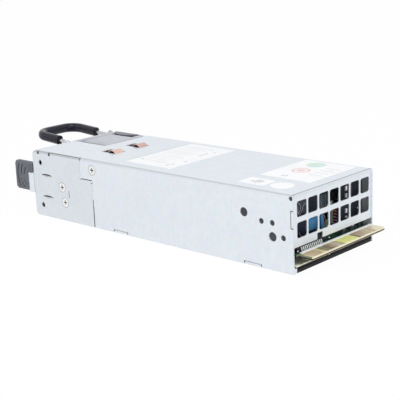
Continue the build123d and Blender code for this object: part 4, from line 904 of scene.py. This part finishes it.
# %% Cards and wrap
shade_card_navy = plain_plastic("shade_card_navy", (0.014, 0.018, 0.034), 0.55, variation=0.1,
                          Specular_IOR_Level=0.15)
card_grey = plain_plastic("card_grey", (0.05, 0.058, 0.08), 0.5, variation=0.3,
                          Specular_IOR_Level=0.3)
cards = bmesh.new()
# painted shade: dark cards standing for the shaded inside of the case
add_bar(cards, (92.2, -25.6, 15.3), (92.6, -16.3, 26.2), 0.08)
add_bar(cards, (91.9, -15.4, 24.4), (92.3, -6.4, 36.4), 0.08)
add_bar(cards, (87.1, -9.3, 9.7), (87.9, 2.8, 13.6), 0.1)
finished_piece("painted_shade_cards", cards, shade_card_navy)
wrap = bmesh.new()
add_bar(wrap, (91.9, -25.4, 26.6), (92.3, -16.3, 35.4), 0.08)
finished_piece("grey_wrap", wrap, card_grey)

# %% [markdown]
# Tape flap, patch and column
# In the middle a flap of the transformer's blue tape hangs at a slant, beside an olive patch
# of board and a pale column. The flap is a plate over four corners, because a bar has no
# slanting side. The others are bars.

# %% Tape flap, patch and column
olive_patch = plain_plastic("olive_patch", (0.24, 0.24, 0.15), 0.5)
column_green = plain_plastic("column_green", (0.4, 0.46, 0.42), 0.4, variation=0.25)
FLAP_X, FLAP_THICKNESS = 87.5, 0.5
FLAP_CORNERS = ((2.6, 20.4), (3.9, 20.4), (5.4, 12.0), (2.6, 12.0))
flap = bmesh.new()
add_plate(flap, [(FLAP_X, y, z) for y, z in FLAP_CORNERS], (FLAP_THICKNESS, 0, 0))
finished_piece("tape_flap", flap, blue_tape)
patch = bmesh.new()
add_bar(patch, (87.4, 6.7, 11.9), (88.0, 8.9, 16.5), 0.1)
finished_piece("olive_patch", patch, olive_patch)
column = bmesh.new()
add_bar(column, (85.6, 14.3, 12.4), (86.5, 15.7, 21.8), 0.15)
finished_piece("column", column, column_green)

# %% [markdown]
# Coil turns and card strip
# The pink turns are painted highlights where the varnished wire round the coil catches the
# light. A helix would make whole turns, but a window shows only their outer side, so each is a
# short rod that falls a little, made by a loop. The grey strip is the edge of the board that
# stands across the module.

# %% Coil turns and card strip
TURN_HEIGHTS = 19.3, 17.6, 15.9, 14.2, 12.6
TURN_Y, TURN_START, TURN_END, TURN_FALL = 16.1, 86.2, 88.6, 0.2
TURN_RADIUS = 0.36
# painted highlight: pink rods where the coil's turns catch the light
turn_highlight_pink = plain_plastic("turn_highlight_pink", (0.86, 0.5, 0.48), 0.25, variation=0.1)
grey_strip = plain_plastic("grey_strip", (0.1, 0.105, 0.125), 0.4, variation=0.1)
turns = bmesh.new()
for z in TURN_HEIGHTS:
    add_rod(turns, (TURN_START, TURN_Y, z), (TURN_END, TURN_Y, z - TURN_FALL), TURN_RADIUS,
            segments=12)
finished_piece("coil_turn_highlights", turns, turn_highlight_pink)
strip = bmesh.new()
add_bar(strip, (93.0, 20.3, 25.0), (93.35, 22.4, 34.6), 0.1)
finished_piece("card_strip", strip, grey_strip)

# %% [markdown]
# Solder and small parts
# Behind the vent plate and along its edge, the board carries small pale parts and drops of
# solder, and two more lie below the tongue. A drop's own shape is too small to see, so each
# is a flattened ball with its own place and size.

# %% Solder and small parts
DROPS = (
    ((86.0, 14.9, 23.8), (0.9, 2.8, 2.2)), ((86.8, 15.4, 12.7), (0.7, 0.9, 0.9)),
    ((97.2, -29.3, 10.6), (0.6, 0.9, 1.0)), ((96.0, -11.9, 12.9), (0.9, 1.4, 1.2)),
    ((95.2, -0.4, 10.2), (0.9, 1.2, 0.8)), ((95.2, 12.9, 11.0), (0.9, 0.9, 1.4)),
    ((95.2, 20.9, 11.1), (0.9, 0.9, 1.3)), ((95.2, 31.4, 10.9), (0.9, 1.0, 1.4)),
    ((98.3, -4.6, 3.0), (0.4, 1.4, 0.6)), ((98.3, 25.0, 3.4), (0.4, 1.4, 0.5)),
    ((93.6, 27.6, 19.2), (0.5, 0.7, 0.7)),
)
bits = bmesh.new()
for place, size in DROPS:
    add_blob(bits, place, size)
finished_piece("solder_bits", bits, pin_metal)


# %% [markdown]
# The room
# The module stands on a white table in a white room. Brighter lamps would whiten the room too,
# but they would clip the pale metal. So the room is pure white only to the camera, to glossy
# surfaces and through clear ones, and dimmer for the plain light that falls on the module.

# %% The room
ROOM_LIGHT = 0.66


def seen_white(tree):
    """A factor that is 1 for camera, glossy and transmission rays, and 0 for plain light."""
    rays = add_node(tree, "ShaderNodeLightPath")
    either = add_node(tree, "ShaderNodeMath", operation="MAXIMUM")
    any_of_three = add_node(tree, "ShaderNodeMath", operation="MAXIMUM")
    tree.links.new(rays.outputs["Is Camera Ray"], either.inputs[0])
    tree.links.new(rays.outputs["Is Glossy Ray"], either.inputs[1])
    tree.links.new(either.outputs[0], any_of_three.inputs[0])
    tree.links.new(rays.outputs["Is Transmission Ray"], any_of_three.inputs[1])
    return any_of_three.outputs[0]


world = bpy.data.worlds.new("studio")
bpy.context.scene.world = world
world.use_nodes = True
sky = world.node_tree
sky.nodes.clear()
output = add_node(sky, "ShaderNodeOutputWorld")
background = add_node(sky, "ShaderNodeBackground", Color=(1.0, 1.0, 1.0, 1.0))
strength = spread(sky, seen_white(sky), ROOM_LIGHT, 1.0, start=0.0, end=1.0)
sky.links.new(strength, background.inputs["Strength"])
sky.links.new(background.outputs["Background"], output.inputs["Surface"])
print("room:", ROOM_LIGHT, "to the module, 1.0 to the camera")


# %% [markdown]
# Lamps
# The photograph has soft shadows and no hard glints on the metal. A sun would give hard ones,
# so three square area lamps light the module: one from above, a wide one on the latch side,
# and a low one for the rear plate and the tongue.

# %% Lamps
def soft_lamp(name, place, aim, size, power):
    """A square area lamp that points at a place."""
    data = bpy.data.lights.new(name, "AREA")
    data.shape = "SQUARE"
    data.size = size
    data.energy = power
    lamp = bpy.data.objects.new(name, data)
    bpy.context.scene.collection.objects.link(lamp)
    lamp.location = place
    lamp.rotation_euler = (Vector(aim) - Vector(place)).to_track_quat("-Z", "Y").to_euler()
    print(name, power, "W")


MODULE_MIDDLE = (0, 0, 0.02)
MODULE_REAR = (0.1, 0, 0.02)
soft_lamp("key_lamp", (0.5, -0.3, 1.1), MODULE_MIDDLE, 0.5, 4.9)
soft_lamp("side_lamp", (-0.5, -1.0, 0.5), MODULE_MIDDLE, 0.8, 3.0)
soft_lamp("rear_lamp", (0.9, -0.25, 0.16), MODULE_REAR, 0.4, 2.2)

# %% [markdown]
# Table
# The table is a thin sheet just below the module. A shadow catcher would need a transparent
# film and a backdrop laid in afterwards, so this is a real floor that keeps the module's
# shadow. Most of what the camera sees of it is a plain white, and it runs into the room
# without an edge.

# %% Table
TABLE_HALF = 3.0
TABLE_DROP = 0.05 * MM
TABLE_WHITENESS = 0.97
table_mesh = bmesh.new()
bmesh.ops.create_grid(table_mesh, x_segments=1, y_segments=1, size=TABLE_HALF)
bmesh.ops.translate(table_mesh, vec=(0, 0, -TABLE_DROP), verts=table_mesh.verts)
table_data = bpy.data.meshes.new("table")
table_mesh.to_mesh(table_data)
table_mesh.free()
table = bpy.data.objects.new("table", table_data)
bpy.context.scene.collection.objects.link(table)

table_white, tree, shader = new_finish("table_white", (0.86, 0.86, 0.86), 0.8)
glow = add_node(tree, "ShaderNodeEmission", Strength=1.0)
mixer = add_node(tree, "ShaderNodeMixShader")
share = add_node(tree, "ShaderNodeMath", operation="MULTIPLY")
share.inputs[1].default_value = TABLE_WHITENESS
tree.links.new(seen_white(tree), share.inputs[0])
tree.links.new(share.outputs[0], mixer.inputs["Fac"])
tree.links.new(shader.outputs["BSDF"], mixer.inputs[1])
tree.links.new(glow.outputs["Emission"], mixer.inputs[2])
tree.links.new(mixer.outputs["Shader"], tree.nodes["Material Output"].inputs["Surface"])
table_data.materials.append(table_white)
print("table", 2 * TABLE_HALF, "m wide")

# %% [markdown]
# Finish Colours are shown as they are, with no film curve.

# %% Finish
bpy.context.scene.view_settings.view_transform = "Standard"
